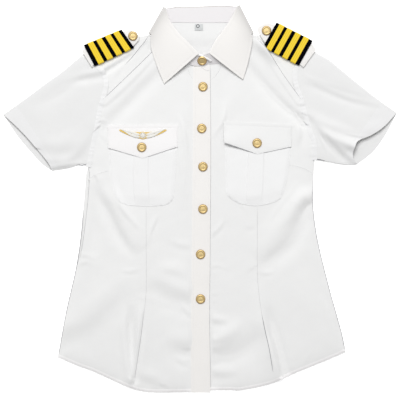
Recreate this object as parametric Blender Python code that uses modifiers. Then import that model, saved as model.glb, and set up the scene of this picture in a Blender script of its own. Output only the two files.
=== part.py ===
"""Short-sleeved pilot shirt, laid flat on its back and smoothed out.

X runs to the right, Y to the collar and Z up from the surface that the shirt lies on. All sizes
below are in millimetres. Each piece that is cut and sewn is one object, a wall of cloth made from
its own outline: a panel is a patch between four edges, a sleeve is a flattened tube of rings, and
the collar and its stand are bands that fold over at both sides of the neck. The height of the top
layer over the surface is one rule, with the folds in a table, and what is sewn on a panel reads
its height from the same rule.
"""
import math
from collections import namedtuple

import bpy
import bmesh
import numpy as np

MM = 0.001

# Cloth and the way its layers lie
CLOTH = 1.2            # one layer of cloth
GAP = 0.3              # clearance between pieces that are sewn or lie together
CURVE_GAP = 0.45       # the same along a curved seam
LOFT = 4.0             # underside of the top layer over the surface, away from all edges
FOLD_LOFT = 2.6        # the same at a folded edge
SEAM_LOFT = CLOTH + GAP      # the same at a sewn edge and at the hem
YOKE_LOFT = 3.2        # the same on the shoulder, where the yoke lies under the fronts
FOLD_REACH = 10.0      # distance over which the top layer rises from a folded edge
SEAM_REACH = 7.0       # distance over which it rises from a sewn edge
BEND = 1.9             # width of the bend at a folded edge
TUCK_FLAT = 8.0        # width of the front that lies on the yoke, from its edge
TUCK_REACH = 20.0      # the same to where it has come down again
COLLAR_LIFT = 1.5      # rise of the yoke where the back of the collar lies under it

# Outlines, as points (x, y). Left and right are those of the viewer.
NECK_POINT_L, NECK_POINT_R = (-75, 283), (80, 284)
SHOULDER_POINT_L, SHOULDER_POINT_R = (-192, 253), (192, 253)
UNDERARM_L, UNDERARM_R = (-190, 54), (195, 66)
SHOULDER_L = [NECK_POINT_L, (-83, 277.5), (-92, 279), (-122, 273), (-153, 264), SHOULDER_POINT_L]
SHOULDER_R = [NECK_POINT_R, (87, 277.5), (97, 279.5), (128, 277), (162, 264), SHOULDER_POINT_R]
YOKE_LINE_L = [(-165, 170), (-119, 214), (-82, 250), (-66, 264)]
YOKE_LINE_R = [(172, 170), (144, 209), (116, 252), (97, 273), (78, 268)]
YOKE_SEAM_L = [(-63, 259), (-79, 246), (-115, 210), (-161, 166)]      # tucked under the front
YOKE_SEAM_R = [(75, 262), (90, 268), (111, 248), (139, 205), (167, 166)]
ARMHOLE_LOW_L = [UNDERARM_L, (-185, 78), (-177, 116), (-170, 153), (-165, 170)]
ARMHOLE_LOW_R = [UNDERARM_R, (193, 99), (188, 112), (178, 143), (172, 170)]
ARMHOLE_HIGH_L = [(-165, 170), (-161, 186), (-160, 200), (-167, 218), (-178, 229), SHOULDER_POINT_L]
ARMHOLE_HIGH_R = [(172, 170), (164, 190), (161, 205), (163, 221), (174, 232), SHOULDER_POINT_R]
YOKE_BACK_Y = 190      # level of the yoke's back seam, hidden under the fronts
ARMHOLE_YOKE_L = [SHOULDER_POINT_L, (-180, 222), (-176, YOKE_BACK_Y)]
ARMHOLE_YOKE_R = [SHOULDER_POINT_R, (181, 222), (178, YOKE_BACK_Y)]
ARMHOLE_BACK_L = [(-176, YOKE_BACK_Y), (-177, 130), UNDERARM_L]
ARMHOLE_BACK_R = [(178, YOKE_BACK_Y), (181, 130), UNDERARM_R]
SIDE_L = [(-242, -269), (-228, -192), (-212, -121), (-204, -70), (-199, -19), (-196, 15), (-194, 42),
          UNDERARM_L]
SIDE_R = [(248, -260), (240, -223), (221, -155), (204, -87), (196, -44), (192, -2), (193, 32),
          UNDERARM_R]
HEM_L = [(-242, -269), (-207, -284), (-180, -294), (-136, -314), (-107, -325), (-76, -329), (-15, -328)]
HEM_R = [(-13, -326), (19, -325), (51, -325), (71, -325), (121, -314), (167, -294), (216, -274),
         (248, -260)]
NECK_L = [(-66, 264), (-60, 253), (-37, 239), (-20, 231), (-12, 228)]
NECK_R = [(-9, 229.5), (17, 229.5), (30, 232), (44, 240), (65, 256), (78, 268)]
NECK_BACK = [NECK_POINT_L, (-68, 297), (-51, 301.5), (0, 301.5), (51, 301.5), (70, 298), NECK_POINT_R]

PLACKET_L = [(-15, -329), (-15, -206), (-14, -87), (-12, 83), (-11.5, 228)]
PLACKET_R = [(18, -329), (16, -206), (17, -87), (18, 83), (17, 228)]
PLACKET_BASE = 3.1     # underside of the placket over the surface
PLACKET_THICK = 2.0    # the placket is folded cloth
PLACKET_EASE = 17.0    # distance over which the covered front rises beside the placket

SLEEVE_TOP_L = [SHOULDER_POINT_L, (-236, 216), (-264, 196), (-292, 175), (-335, 144)]
SLEEVE_TOP_R = [SHOULDER_POINT_R, (221, 236), (245, 216), (296, 175), (335, 147)]
SLEEVE_UNDER_L = [UNDERARM_L, (-201, 59), (-214, 55), (-230, 51), (-252, 48)]
SLEEVE_UNDER_R = [UNDERARM_R, (221, 62), (246, 58), (266, 58)]
CUFF_BACK_L = [(-335, 144), (-308, 104), (-272, 63), (-252, 48)]
CUFF_BACK_R = [(335, 147), (316, 110), (294, 80), (266, 58)]
CUFF_FRONT_L = [(-335, 144), (-306, 117), (-280, 88), (-258, 61), (-252, 48)]
CUFF_FRONT_R = [(335, 147), (314, 124), (292, 109), (269, 99), (263, 88), (260, 74), (266, 58)]

# Folds of the top layer: how far each slope reaches to the left and right of its path, and the
# path as points (x, y, height). A negative height is a trough.
Fold = namedtuple("Fold", "left right path")
FOLDS = [
    # chest, from the shoulders to the armholes
    Fold(14, 14, [(-73, 236, 0), (-102, 206, -1.6), (-136, 168, -1.8), (-170, 131, -0.5)]),
    Fold(12, 16, [(82, 233, 0), (105, 202, -1.8), (136, 168, -2.0), (172, 136, -1.0)]),
    Fold(14, 10, [(60, 200, 0), (44, 150, 1.4), (38, 128, 1.2), (24, 104, 0)]),
    Fold(14, 14, [(-30, 160, 0), (-27, 100, 1.4), (-24, 30, 1.2), (-26, -20, 0)]),
    # waist, across each side
    Fold(12, 9, [(-186, 26, 0.5), (-153, -22, -2.4), (-136, -56, -2.0), (-116, -80, 0)]),
    Fold(16, 12, [(-165, 20, 0), (-136, -14, 2.2), (-112, -50, 2.0), (-92, -84, 0)]),
    Fold(9, 13, [(188, -6, 0), (170, -24, -2.4), (144, -70, -2.6), (99, -116, 0)]),
    Fold(13, 18, [(180, 22, 0), (150, -24, 2.6), (120, -62, 2.2), (88, -96, 0)]),
    # beside the placket
    Fold(10, 12, [(-85, -138, 0), (-60, -139, -1.8), (-34, -151, -2.0), (-17, -160, -0.6)]),
    Fold(12, 10, [(-80, -116, 0), (-48, -118, 1.8), (-20, -128, 0.8)]),
    Fold(12, 12, [(20, -258, -0.6), (42, -252, -1.8), (68, -233, -1.6), (88, -204, 0)]),
    Fold(14, 12, [(20, -232, 0.4), (48, -226, 1.8), (70, -204, 0)]),
    # skirt, down to the hem
    Fold(12, 16, [(-97, -160, 0), (-100, -223, 2.0), (-107, -274, 2.4), (-116, -312, 1.6)]),
    Fold(16, 12, [(-122, -180, 0), (-126, -240, -1.6), (-134, -300, -1.2)]),
    Fold(20, 20, [(-94, -129, 0), (-144, -163, 2.0), (-187, -214, 2.0), (-221, -248, 0.5)]),
    Fold(10, 16, [(97, -140, 0), (104, -206, 3.2), (115, -257, 3.6), (122, -306, 2.2)]),
    Fold(10, 14, [(116, -176, 0), (128, -230, -1.8), (142, -296, -1.6)]),
    Fold(18, 18, [(170, -120, 0), (190, -180, 1.8), (206, -236, 1.0)]),
    # sleeves, from the armholes to the cuffs
    Fold(12, 12, [(-170, 222, -0.5), (-212, 204, -2.0), (-255, 172, -1.6), (-292, 152, 0)]),
    Fold(12, 9, [(-253, 66, 4.0), (-226, 68, 4.6), (-205, 86, 4.2), (-186, 116, 1.0)]),
    Fold(12, 12, [(172, 200, 0), (218, 184, -1.6), (262, 168, -1.8), (300, 156, 0)]),
    Fold(15, 9, [(190, 132, 0), (218, 113, 3.5), (249, 95, 7.5), (266, 88, 9.0)]),
    Fold(16, 14, [(230, 150, 0), (280, 120, 4.0), (306, 114, 4.5)]),
    # the front's edge, where it lies over the corner of the right shoulder slide
    Fold(14, 10, [(93, 276, 1.0), (104, 263, 6.6), (113, 253, 7.2), (134, 226, 0)]),
]

# Collar: the line where it rolls over, and its free edge, as rows (roll x, y, z, edge x, y, z) from
# the front edge back to the side of the neck; then the fold at the side and half of the back.
LEAF_L = [(-3, 246, 17.5, -61, 196, 9.5), (-17, 261, 16, -72, 223, 9.8), (-38, 282, 12.5, -82, 253, 10),
          (-53, 304, 10.5, -84, 270, 10)]
LEAF_R = [(16, 247, 17, 73, 203, 10.0), (27, 268, 15.5, 82, 233, 11.0), (46, 294, 12.5, 88, 262, 11.5),
          (56, 311, 10.8, 89, 272, 10.8)]
SIDE_FOLD_L = [(-63, 326), (-88, 282)]       # outermost line of the side fold, roll to edge
SIDE_FOLD_R = [(68, 329), (92, 282)]
LEAF_TOP = 10.0                              # height of the leaf at the side fold
LEAF_CROWN = 0.8                             # rise of each leaf between its roll and its edge
COLLAR_BACK = [(-36, 326.5, 0, -50, 281, 0), (0, 327, 0, 0, 280, 0), (36, 328.5, 0, 50, 281, 0)]

# Collar stand: rows (roll x, y, z, neck x, y) and what the neck edge of each row lies on
STAND_TAB = [(14, 239, 11.6, 12, 229), (7, 244, 14.6, 4, 227), (-2, 247, 15.6, -10, 226.5)]
STAND_L = [(-17, 260, 14.2, -30, 233), (-37, 281, 10.6, -58, 249), (-51, 302, 8.8, -76, 271)]
STAND_R = [(56, 309, 9.0, 82, 275), (45, 293, 10.6, 69, 258), (26, 267, 13.6, 46, 239),
           (15, 248, 13.4, 28, 230)]
STAND_UNDER = [(8, 245.5, 12.4, 12, 229), (-4, 243.5, 12.0, -8, 229)]
STAND_BACK = [(-36, 325.5, 1.5, -52, 300), (0, 326, 1.5, 0, 300), (36, 327.5, 1.5, 52, 300)]
STAND_EASE = 0.5                             # extra rise of its neck edge over the neckline
STAND_NECK_SHARE = 0.72                      # share of the side fold's length that the stand takes

# Pockets, flaps and what is on them
POCKET_L = dict(
    left=[(-131, -8), (-139, 14), (-148, 38), (-154, 62), (-155, 117)],
    right=[(-50, -9), (-43, 12), (-40, 40), (-38, 80), (-38.5, 117)],
    bottom=[(-131, -8), (-120, -12.5), (-91, -14), (-60, -12.5), (-50, -9)],
    pleat=(-109, -87))
POCKET_R = dict(
    left=[(56, -2), (46, 8), (44, 24), (43, 87), (43, 121)],
    right=[(138, 2), (146, 26), (151, 55), (154, 86), (154, 121)],
    bottom=[(56, -2), (70, -8), (96, -11.5), (124, -6), (138, 2)],
    pleat=(83, 107))
FLAP_L = dict(top=[(-157, 125), (-97, 126), (-38, 126)], left=(-156, 85), point=(-97, 67), right=(-38, 87))
FLAP_R = dict(top=[(40, 131), (97, 129), (156, 126)], left=(41, 95), point=(97, 75), right=(155, 88))
POCKET_EASE = 0.3      # the pocket's further rise over the curved front
PLEAT_RISE = 0.8       # the box pleat's rise over the pocket
FLAP_RISE = 3.0        # the flap's rise over the front, where it covers the pocket
FLAP_RAMP = 3.5        # distance over which the flap rises from its sewn edge
FLAP_LIFT = (41, 95, 4.0, 26.0)   # lifted corner of the right flap: x, y, height, reach
BADGE_CENTRE = (-97, 108)
BADGE_WING = 40.0      # length of one wing
BADGE_BOSS = 6.2       # radius of its round boss
BADGE_THICK = 1.0

# Shoulder straps with their slides
STRAP_L = [(-197, 258), (-200, 250), (-183.5, 223.5), (-180.5, 228.5), (-113, 260), (-104, 270),
           (-102.5, 277), (-120, 289)]
STRAP_R = [(190, 265), (197.5, 254), (176, 223.5), (169.8, 228.5), (110, 265), (97.5, 286),
           (98, 292.5), (114.5, 300.5), (122, 297.8)]
SLIDE_L = [(-197, 261), (-133, 287), (-112, 257), (-179, 226)]     # outer upper, inner upper, ...
SLIDE_R = [(191, 268), (130, 299), (107, 257), (168, 226)]
SLIDE_BASE = 5.3       # underside of the slide over the surface
SLIDE_WALL = 1.0
SLIDE_HIGH = 3.8
STRAP_THICK = 1.2

# Buttons
BUTTON_PROFILE = [(0.0, 1.7), (5.0, 1.8), (6.6, 2.5), (8.0, 1.4), (6.8, 0.0), (0.0, 0.0)]
BUTTON_STEPS = 14
PLACKET_BUTTONS = [(5, 191), (3, 120), (5, 55), (5, -17), (1, -94), (1, -170)]
FLAP_BUTTONS = [(-99, 88), (97, 95)]
STRAP_BUTTONS = [(-114, 277), (113, 286)]
COLLAR_BUTTON = (2, 234, 10.8)    # on the tab of the stand, tilted with it
COLLAR_BUTTON_TILT = 25.0

LABEL = (-9, 5, 287, 297.5)       # x from, to, y from, to, inside the back of the neck
LABEL_THICK = 1.0

WHITE = (0.86, 0.86, 0.86, 1)
BAND_WHITE = (0.88, 0.86, 0.84, 1)
BLACK = (0.01, 0.01, 0.015, 1)
BRASS = (0.78, 0.56, 0.20, 1)
GREY = (0.45, 0.46, 0.45, 1)


# ---------------------------------------------------------------- curves and patches

def smooth_path(points, count):
    """Rows at equal steps along a smooth curve through the given rows, ends kept."""
    rows = np.array(points, float)
    padded = np.vstack([2 * rows[0] - rows[1], rows, 2 * rows[-1] - rows[-2]])
    fine = [rows[0]]
    for a, b, c, d in zip(padded, padded[1:], padded[2:], padded[3:]):
        for t in np.linspace(0, 1, 13)[1:]:
            fine.append(0.5 * (2 * b + (c - a) * t + (2 * a - 5 * b + 4 * c - d) * t ** 2
                               + (3 * b - a - 3 * c + d) * t ** 3))
    fine = np.array(fine)
    length = np.concatenate([[0], np.cumsum(np.linalg.norm(np.diff(fine, axis=0), axis=1))])
    steps = np.linspace(0, length[-1], count + 1)
    return np.column_stack([np.interp(steps, length, fine[:, k]) for k in range(rows.shape[1])])


def chain(*parts):
    """One row of points from several (path, count) parts that meet end to end."""
    rows = [smooth_path(path, count) for path, count in parts]
    return np.vstack([rows[0]] + [row[1:] for row in rows[1:]])


def shifted(row, distance):
    """A row of points moved sideways, to the left of its direction."""
    along = np.gradient(row, axis=0)
    along /= np.linalg.norm(along, axis=1)[:, None]
    return row + distance * np.column_stack([-along[:, 1], along[:, 0]])


def patch(bottom, top, left, right):
    """Grid of points between four rows that share their corners (bottom to top, left to right)."""
    u = np.linspace(0, 1, len(bottom))[None, :, None]
    v = np.linspace(0, 1, len(left))[:, None, None]
    sides = (1 - u) * left[:, None] + u * right[:, None]
    spans = (1 - v) * bottom[None] + v * top[None]
    corners = ((1 - u) * (1 - v) * bottom[0] + u * (1 - v) * bottom[-1]
               + (1 - u) * v * top[0] + u * v * top[-1])
    return sides + spans - corners


def nearest(path, x, y):
    """Distance of each point to a path, whether it is to its left, and how far along (0 to 1)."""
    best = np.full(x.shape, np.inf)
    left = np.zeros(x.shape, bool)
    along = np.zeros(x.shape)
    steps = len(path) - 1
    for k in range(steps):
        (ax, ay), (bx, by) = path[k, :2], path[k + 1, :2]
        dx, dy = bx - ax, by - ay
        t = np.clip(((x - ax) * dx + (y - ay) * dy) / (dx * dx + dy * dy), 0, 1)
        away = np.hypot(x - ax - t * dx, y - ay - t * dy)
        closer = away < best
        best = np.where(closer, away, best)
        left = np.where(closer, dx * (y - ay) - dy * (x - ax) > 0, left)
        along = np.where(closer, (k + t) / steps, along)
    return best, left, along


def ramp(value, low, high):
    """Smooth step from 0 at low to 1 at high."""
    t = np.clip((value - low) / (high - low), 0, 1)
    return t * t * (3 - 2 * t)


# ---------------------------------------------------------------- height of the layers

SEWN_EDGES = [smooth_path(path, 30) for path in (SIDE_L, SIDE_R, HEM_L, HEM_R)]
SHOULDER_EDGES = [smooth_path(path, 12) for path in (SHOULDER_L, SHOULDER_R)]
SLEEVE_EDGES = [smooth_path(path, 12) for path in (SLEEVE_TOP_L, SLEEVE_TOP_R, SLEEVE_UNDER_L, SLEEVE_UNDER_R)]
YOKE_LINES = [smooth_path(path, 12) for path in (YOKE_LINE_L, YOKE_LINE_R)]
FOLD_PATHS = [(fold, smooth_path(fold.path, 12)) for fold in FOLDS]


def edge_distance(edges, x, y):
    return np.min([nearest(edge, x, y)[0] for edge in edges], axis=0)


def collar_lift(x, y):
    """Rise of the neck's back, which lies on the collar."""
    return COLLAR_LIFT * ramp(y, 255, 276) * (1 - ramp(np.abs(x), 93, 113))


def creased(x, y):
    """Sum of the folds at each point."""
    total = np.zeros(x.shape)
    for fold, path in FOLD_PATHS:
        away, left, along = nearest(path, x, y)
        height = np.interp(along, np.linspace(0, 1, len(path)), path[:, 2])
        total += height * np.exp(-(away / np.where(left, fold.left, fold.right)) ** 2)
    return total


def kept_above(height, floor):
    """Height held softly above a floor."""
    over = height - floor
    return floor + (over + np.sqrt(over ** 2 + 0.09)) / 2


def front_height(x, y):
    """Underside of the fronts."""
    height = LOFT - (LOFT - SEAM_LOFT) * np.exp(-edge_distance(SEWN_EDGES, x, y) / SEAM_REACH)
    on_yoke = 1 - ramp(edge_distance(YOKE_LINES, x, y), TUCK_FLAT, TUCK_REACH)
    floor = SEAM_LOFT + (yoke_top(x, y) + CURVE_GAP - SEAM_LOFT) * on_yoke
    return kept_above(height + collar_lift(x, y) + creased(x, y), floor)


def front_height_under(x, y):
    """Underside of the front that goes on under the placket."""
    free = ramp(x, PLACKET_R[0][0] + 3, PLACKET_R[0][0] + 3 + PLACKET_EASE)
    return SEAM_LOFT + (front_height(x, y) - SEAM_LOFT) * free


def front_height_over(x, y):
    """Underside of the front that the placket is sewn to."""
    free = ramp(-x, -PLACKET_L[-1][0], PLACKET_EASE - PLACKET_L[-1][0])
    return PLACKET_BASE + (front_height(x, y) - PLACKET_BASE) * free


def front_top(x, y):
    return front_height(x, y) + CLOTH


def yoke_top(x, y):
    """Top of the yoke's shoulder parts."""
    away = edge_distance(SHOULDER_EDGES, x, y)
    return YOKE_LOFT - (YOKE_LOFT - FOLD_LOFT) * np.exp(-away / FOLD_REACH) + collar_lift(x, y) + CLOTH


def sleeve_top(x, y):
    """Top of the sleeves' upper layer."""
    height = LOFT - (LOFT - FOLD_LOFT) * np.exp(-edge_distance(SLEEVE_EDGES, x, y) / FOLD_REACH)
    return kept_above(height + creased(x, y), FOLD_LOFT - 0.2) + CLOTH


def flap_height(x, y, top_row):
    """Underside of a pocket flap, which rises from its sewn top edge over the pocket."""
    below = np.interp(x, top_row[:, 0], top_row[:, 1]) - y
    lift_x, lift_y, lift, reach = FLAP_LIFT
    lifted = lift * np.exp(-((x - lift_x) ** 2 + (y - lift_y) ** 2) / reach ** 2)
    return front_top(x, y) + GAP + FLAP_RISE * ramp(below, 0, FLAP_RAMP) + lifted


# ---------------------------------------------------------------- meshes

collection = bpy.data.collections.new("pilot_shirt")


def clear_scene():
    for old in list(bpy.data.objects):
        bpy.data.objects.remove(old, do_unlink=True)
    bpy.context.scene.collection.children.link(collection)


def material(name, colour, roughness=0.85, metallic=0.0):
    made = bpy.data.materials.new(name)
    made.use_nodes = True
    shader = made.node_tree.nodes["Principled BSDF"]
    shader.inputs["Base Color"].default_value = colour
    shader.inputs["Roughness"].default_value = roughness
    shader.inputs["Metallic"].default_value = metallic
    return made


def grid_object(name, finish, rows, wall, closed=False, inward=False):
    """One piece of cloth: the faces between rows of points, given its wall by Solidify.

    The rows lie on the underside of a piece that grows upward, or on the outside of a piece that
    folds round and grows inward. closed joins the end of each row to its start.
    """
    mesh = bmesh.new()
    add_grid(mesh, np.array(rows, float), closed)
    return finish_sheet(name, finish, mesh, wall, inward)


def add_grid(mesh, points, closed=False):
    """Faces between rows of points."""
    count, width = points.shape[:2]
    verts = [mesh.verts.new(point * MM) for point in points.reshape(-1, 3)]
    for j in range(count - 1):
        for i in range(width if closed else width - 1):
            k = (i + 1) % width
            mesh.faces.new((verts[j * width + i], verts[j * width + k],
                            verts[(j + 1) * width + k], verts[(j + 1) * width + i]))


def finish_sheet(name, finish, mesh, wall, inward):
    """Welds an open sheet, turns its highest face up and gives it its wall."""
    bmesh.ops.remove_doubles(mesh, verts=mesh.verts, dist=0.00001)
    bmesh.ops.recalc_face_normals(mesh, faces=mesh.faces)
    highest = max(mesh.faces, key=lambda face: face.calc_center_median().z)
    if highest.normal.z < 0:
        bmesh.ops.reverse_faces(mesh, faces=mesh.faces)
    data = bpy.data.meshes.new(name)
    mesh.to_mesh(data)
    mesh.free()
    data.materials.append(finish)
    data.shade_smooth()
    piece = bpy.data.objects.new(name, data)
    collection.objects.link(piece)
    thick = piece.modifiers.new("wall", "SOLIDIFY")
    thick.thickness = wall * MM
    thick.offset = -1 if inward else 1
    thick.use_even_offset = True
    thick.use_quality_normals = True
    return piece


def lay(plan, height):
    """Grid of 3D points from a grid of plan points and a height rule."""
    return np.dstack([plan, height(plan[..., 0], plan[..., 1])])


def bend(start, end, outward, low, high, steps):
    """Rows of a half-round bend from a top row to a bottom row, without those two rows.

    start and end are plan rows at the top and bottom, outward the direction of the bend, and low
    and high the heights of the two rows.
    """
    rows = []
    for k in range(1, steps):
        angle = math.pi * k / steps
        share = (1 - math.cos(angle)) / 2
        plan = start * (1 - share) + end * share + outward * BEND * math.sin(angle)
        height = low + (high - low) * (1 - share)
        rows.append(np.column_stack([plan, height]))
    return rows


# ---------------------------------------------------------------- body panels

def make_back(finish):
    left = chain((SIDE_L, 14), (ARMHOLE_BACK_L[::-1], 6))
    right = chain((SIDE_R, 14), (ARMHOLE_BACK_R[::-1], 6))
    left[-1] -= (0, GAP)
    right[-1] -= (0, GAP)
    hem = chain((HEM_L[:-1] + [HEM_R[0]], 7), (HEM_R, 7))
    top = np.linspace(left[-1], right[-1], 15)
    plan = patch(hem, top, left, right)
    grid_object("back", finish, lay(plan, lambda x, y: 0 * x), CLOTH)


def make_front_right(finish):
    """The front on the viewer's left, which carries the placket."""
    top = chain((YOKE_LINE_L, 9), (NECK_L, 5))
    hem = smooth_path(HEM_L, 14)
    left = chain((SIDE_L, 24), (ARMHOLE_LOW_L, 9))
    right = smooth_path([(x - CURVE_GAP, y) for x, y in PLACKET_L], 33)
    right[0], right[-1] = hem[-1] + (-CURVE_GAP, 0), top[-1]
    hem[-1] = right[0]
    grid_object("front_right", finish, lay(patch(hem, top, left, right), front_height_over), CLOTH)


def make_front_left(finish):
    """The front on the viewer's right, whose edge goes on under the placket."""
    hem = smooth_path(HEM_R, 15)
    top = chain((NECK_R, 7), (YOKE_LINE_R[::-1], 8))
    right = chain((SIDE_R, 24), (ARMHOLE_LOW_R, 9))
    left = np.linspace(hem[0], top[0], 34)
    grid_object("front_left", finish, lay(patch(hem, top, left, right), front_height_under), CLOTH)


def make_placket(finish):
    rows = 26
    left, right = smooth_path(PLACKET_L, rows), smooth_path(PLACKET_R, rows)
    plan = patch(np.linspace(left[0], right[0], 3), np.linspace(left[-1], right[-1], 3), left, right)
    grid_object("placket", finish, lay(plan, lambda x, y: 0 * x + PLACKET_BASE), PLACKET_THICK)


def yoke_half(shoulder, seam, neck_front, arm_front, neck_back, arm_back, outward_sign):
    """Two grids of one half of the yoke: the shoulder part with its bend, and the back part."""
    edge = smooth_path(shoulder, 8)
    outward = shifted(edge, outward_sign) - edge
    inner = edge - outward * BEND
    seam_row, neck_side, arm_side = (smooth_path(path, n) for path, n in
                                     ((seam, 8), (neck_front, 6), (arm_front, 6)))
    neck_side[-1], arm_side[0], arm_side[-1] = inner[0], seam_row[-1], inner[-1]
    centre = np.linspace((0, YOKE_BACK_Y), neck_back[-1], 7)
    back_side = smooth_path(arm_back[::-1], 6)
    neck_row = smooth_path(neck_back[::-1], 4)
    neck_row[-1], back_side[-1] = inner[0], inner[-1]
    seam_back = np.linspace(centre[0], back_side[0], 13)
    upper = lay(patch(seam_row, inner, neck_side, arm_side), yoke_top)
    lower = lay(patch(seam_back, np.vstack([neck_row[:-1], inner]), centre, back_side), collar_lift)
    turn = bend(inner, inner, outward, lower[-1, 4:, 2], upper[-1, :, 2], 5)
    return np.vstack([upper, np.array(turn), lower[-1:, 4:]]), lower


def make_yoke(finish):
    """The yoke, one sheet that covers the upper back and both shoulders down to the front seams."""
    mesh = bmesh.new()
    halves = (yoke_half(SHOULDER_L, YOKE_SEAM_L, [YOKE_SEAM_L[0], (-75, 273), NECK_POINT_L],
                        ARMHOLE_HIGH_L, NECK_BACK[:4], ARMHOLE_YOKE_L, -1)
              + yoke_half(SHOULDER_R, YOKE_SEAM_R, [YOKE_SEAM_R[0], (79, 273), NECK_POINT_R],
                          ARMHOLE_HIGH_R, NECK_BACK[:2:-1], ARMHOLE_YOKE_R, 1))
    for rows in halves:
        add_grid(mesh, rows)
    finish_sheet("yoke", finish, mesh, CLOTH, inward=True)


# ---------------------------------------------------------------- sleeves

def flat_tube(a, b, out_a, out_b, bottom, top, steps):
    """Rings of a flattened tube: bottom from edge a to edge b, round, top back to a, and round."""
    turn_b = np.array(bend(b, b, out_b, bottom[:, -1, 2], top[:, -1, 2], steps))[::-1]
    turn_a = np.array(bend(a, a, out_a, bottom[:, 0, 2], top[:, 0, 2], steps))
    return [np.vstack([bottom[i], turn_b[:, i], top[i, ::-1], turn_a[:, i]]) for i in range(len(a))]


def make_sleeve(name, finish, top_line, under_line, arm_back, arm_front, cuff_back, cuff_front, sign):
    """A sleeve, laid flat: a tube of closed rings from the armhole to the cuff, open at both ends."""
    rings, across = 12, 15
    top_edge, under_edge = smooth_path(top_line, rings), smooth_path(under_line, rings)
    out_top = shifted(top_edge, sign) - top_edge
    out_under = shifted(under_edge, -sign) - under_edge
    a, b = top_edge - out_top * BEND, under_edge - out_under * BEND

    def between(armhole, cuff):
        """Patch from the armhole row to the cuff row, held between the two long edges."""
        first, last = shifted(armhole, sign * CURVE_GAP), smooth_path(cuff, across)
        first[0], first[-1], last[0], last[-1] = a[0], b[0], a[-1], b[-1]
        return patch(first, last, a, b)

    bottom = lay(between(arm_back, cuff_back), lambda x, y: 0 * x)
    top = lay(between(arm_front, cuff_front), sleeve_top)
    grid_object(name, finish, flat_tube(a, b, out_top, out_under, bottom, top, 4), CLOTH,
                closed=True, inward=True)


def make_sleeves(finish):
    step = 1.0    # the sleeve starts this far outside the shoulder point and the underarm point
    sides = (("sleeve_right", -1, SLEEVE_TOP_L, SLEEVE_UNDER_L, ARMHOLE_YOKE_L, ARMHOLE_BACK_L,
              ARMHOLE_HIGH_L, ARMHOLE_LOW_L, CUFF_BACK_L, CUFF_FRONT_L),
             ("sleeve_left", 1, SLEEVE_TOP_R, SLEEVE_UNDER_R, ARMHOLE_YOKE_R, ARMHOLE_BACK_R,
              ARMHOLE_HIGH_R, ARMHOLE_LOW_R, CUFF_BACK_R, CUFF_FRONT_R))
    for name, sign, top, under, arm_yoke, arm_back, high, low, cuff_back, cuff_front in sides:
        top_line = [(top[0][0] + sign * step, top[0][1] - step)] + top[1:]
        under_line = [(under[0][0] + sign * step, under[0][1])] + under[1:]
        make_sleeve(name, finish, top_line, under_line, chain((arm_yoke, 9), (arm_back, 6)),
                    chain((high[::-1], 6), (low[::-1], 9)), cuff_back, cuff_front, sign)


# ---------------------------------------------------------------- collar

def band(name, finish, rows, across, crown):
    """A folded band of cloth between two long edges, with each row (x, y, z, x, y, z)."""
    rows = np.array(rows, float)
    share = np.linspace(0, 1, across + 1)[None, :, None]
    points = rows[:, None, :3] * (1 - share) + rows[:, None, 3:] * share
    points[..., 2] += crown[:, None] * np.sin(math.pi * share[..., 0])
    grid_object(name, finish, points, CLOTH, inward=True)


def side_bend(fold, sign, share, roll_heights, edge_heights, steps=6):
    """Rows of a band that folds over at the side of the neck, from its top layer to its bottom."""
    line = np.array(fold, float)
    outward = (shifted(line, sign) - line)[0]
    axis = line - outward * LEAF_TOP / 2
    far = axis[0] + (axis[1] - axis[0]) * share
    rows = []
    for angle in np.linspace(0, math.pi, steps + 1):
        row = []
        for point, (low, high) in ((axis[0], roll_heights), (far, edge_heights)):
            radius = (high - low) / 2
            plan = point + outward * radius * math.sin(angle)
            row += [*plan, low + radius + radius * math.cos(angle)]
        rows.append(row)
    return rows


def make_collar(finish):
    """The collar: two leaves over the fronts, folded back under the neck at both sides."""
    heights = (0, LEAF_TOP)
    left, right = list(smooth_path(LEAF_L, 6)), list(smooth_path(LEAF_R, 6))
    bend_l = side_bend(SIDE_FOLD_L, -1, 1.0, heights, heights)
    bend_r = side_bend(SIDE_FOLD_R, 1, 1.0, heights, heights)
    rows = left + bend_l + COLLAR_BACK + bend_r[::-1] + right[::-1]
    crown = np.zeros(len(rows))
    crown[:len(left)] = crown[-len(right):] = LEAF_CROWN
    band("collar", finish, rows, 5, crown)


def make_stand(finish):
    """The collar stand, from the buttoned tab round the neck to the end that lies under the tab."""
    over_cloth = CLOTH + GAP + STAND_EASE

    def seated(rows, base, count=0):
        """Rows whose neck edge lies just over what it is sewn to."""
        points = smooth_path(rows, count) if count else np.array(rows, float)
        height = base(points[:, 3], points[:, 4]) + over_cloth
        return [[*row, z] for row, z in zip(points, height)]

    left = (seated(STAND_TAB, lambda x, y: 0 * x + PLACKET_BASE + PLACKET_THICK)
            + seated(STAND_L, lambda x, y: front_height_over(x, y) + CLOTH, 6))
    right = (seated(STAND_R, lambda x, y: front_height_under(x, y) + CLOTH, 7)
             + seated(STAND_UNDER, lambda x, y: front_height_under(x, y) + CLOTH))
    roll_heights = (COLLAR_LIFT, LEAF_TOP - CLOTH - GAP)
    neck_heights = (COLLAR_LIFT + CLOTH + GAP, LEAF_TOP - CLOTH - GAP)
    bend_l = side_bend(SIDE_FOLD_L, -1, STAND_NECK_SHARE, roll_heights, neck_heights)
    bend_r = side_bend(SIDE_FOLD_R, 1, STAND_NECK_SHARE, roll_heights, neck_heights)
    back = [[*row, neck_heights[0]] for row in STAND_BACK]
    rows = left + bend_l + back + bend_r[::-1] + right
    band("collar_stand", finish, rows, 3, np.zeros(len(rows)))


# ---------------------------------------------------------------- pockets, flaps and badge

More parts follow.
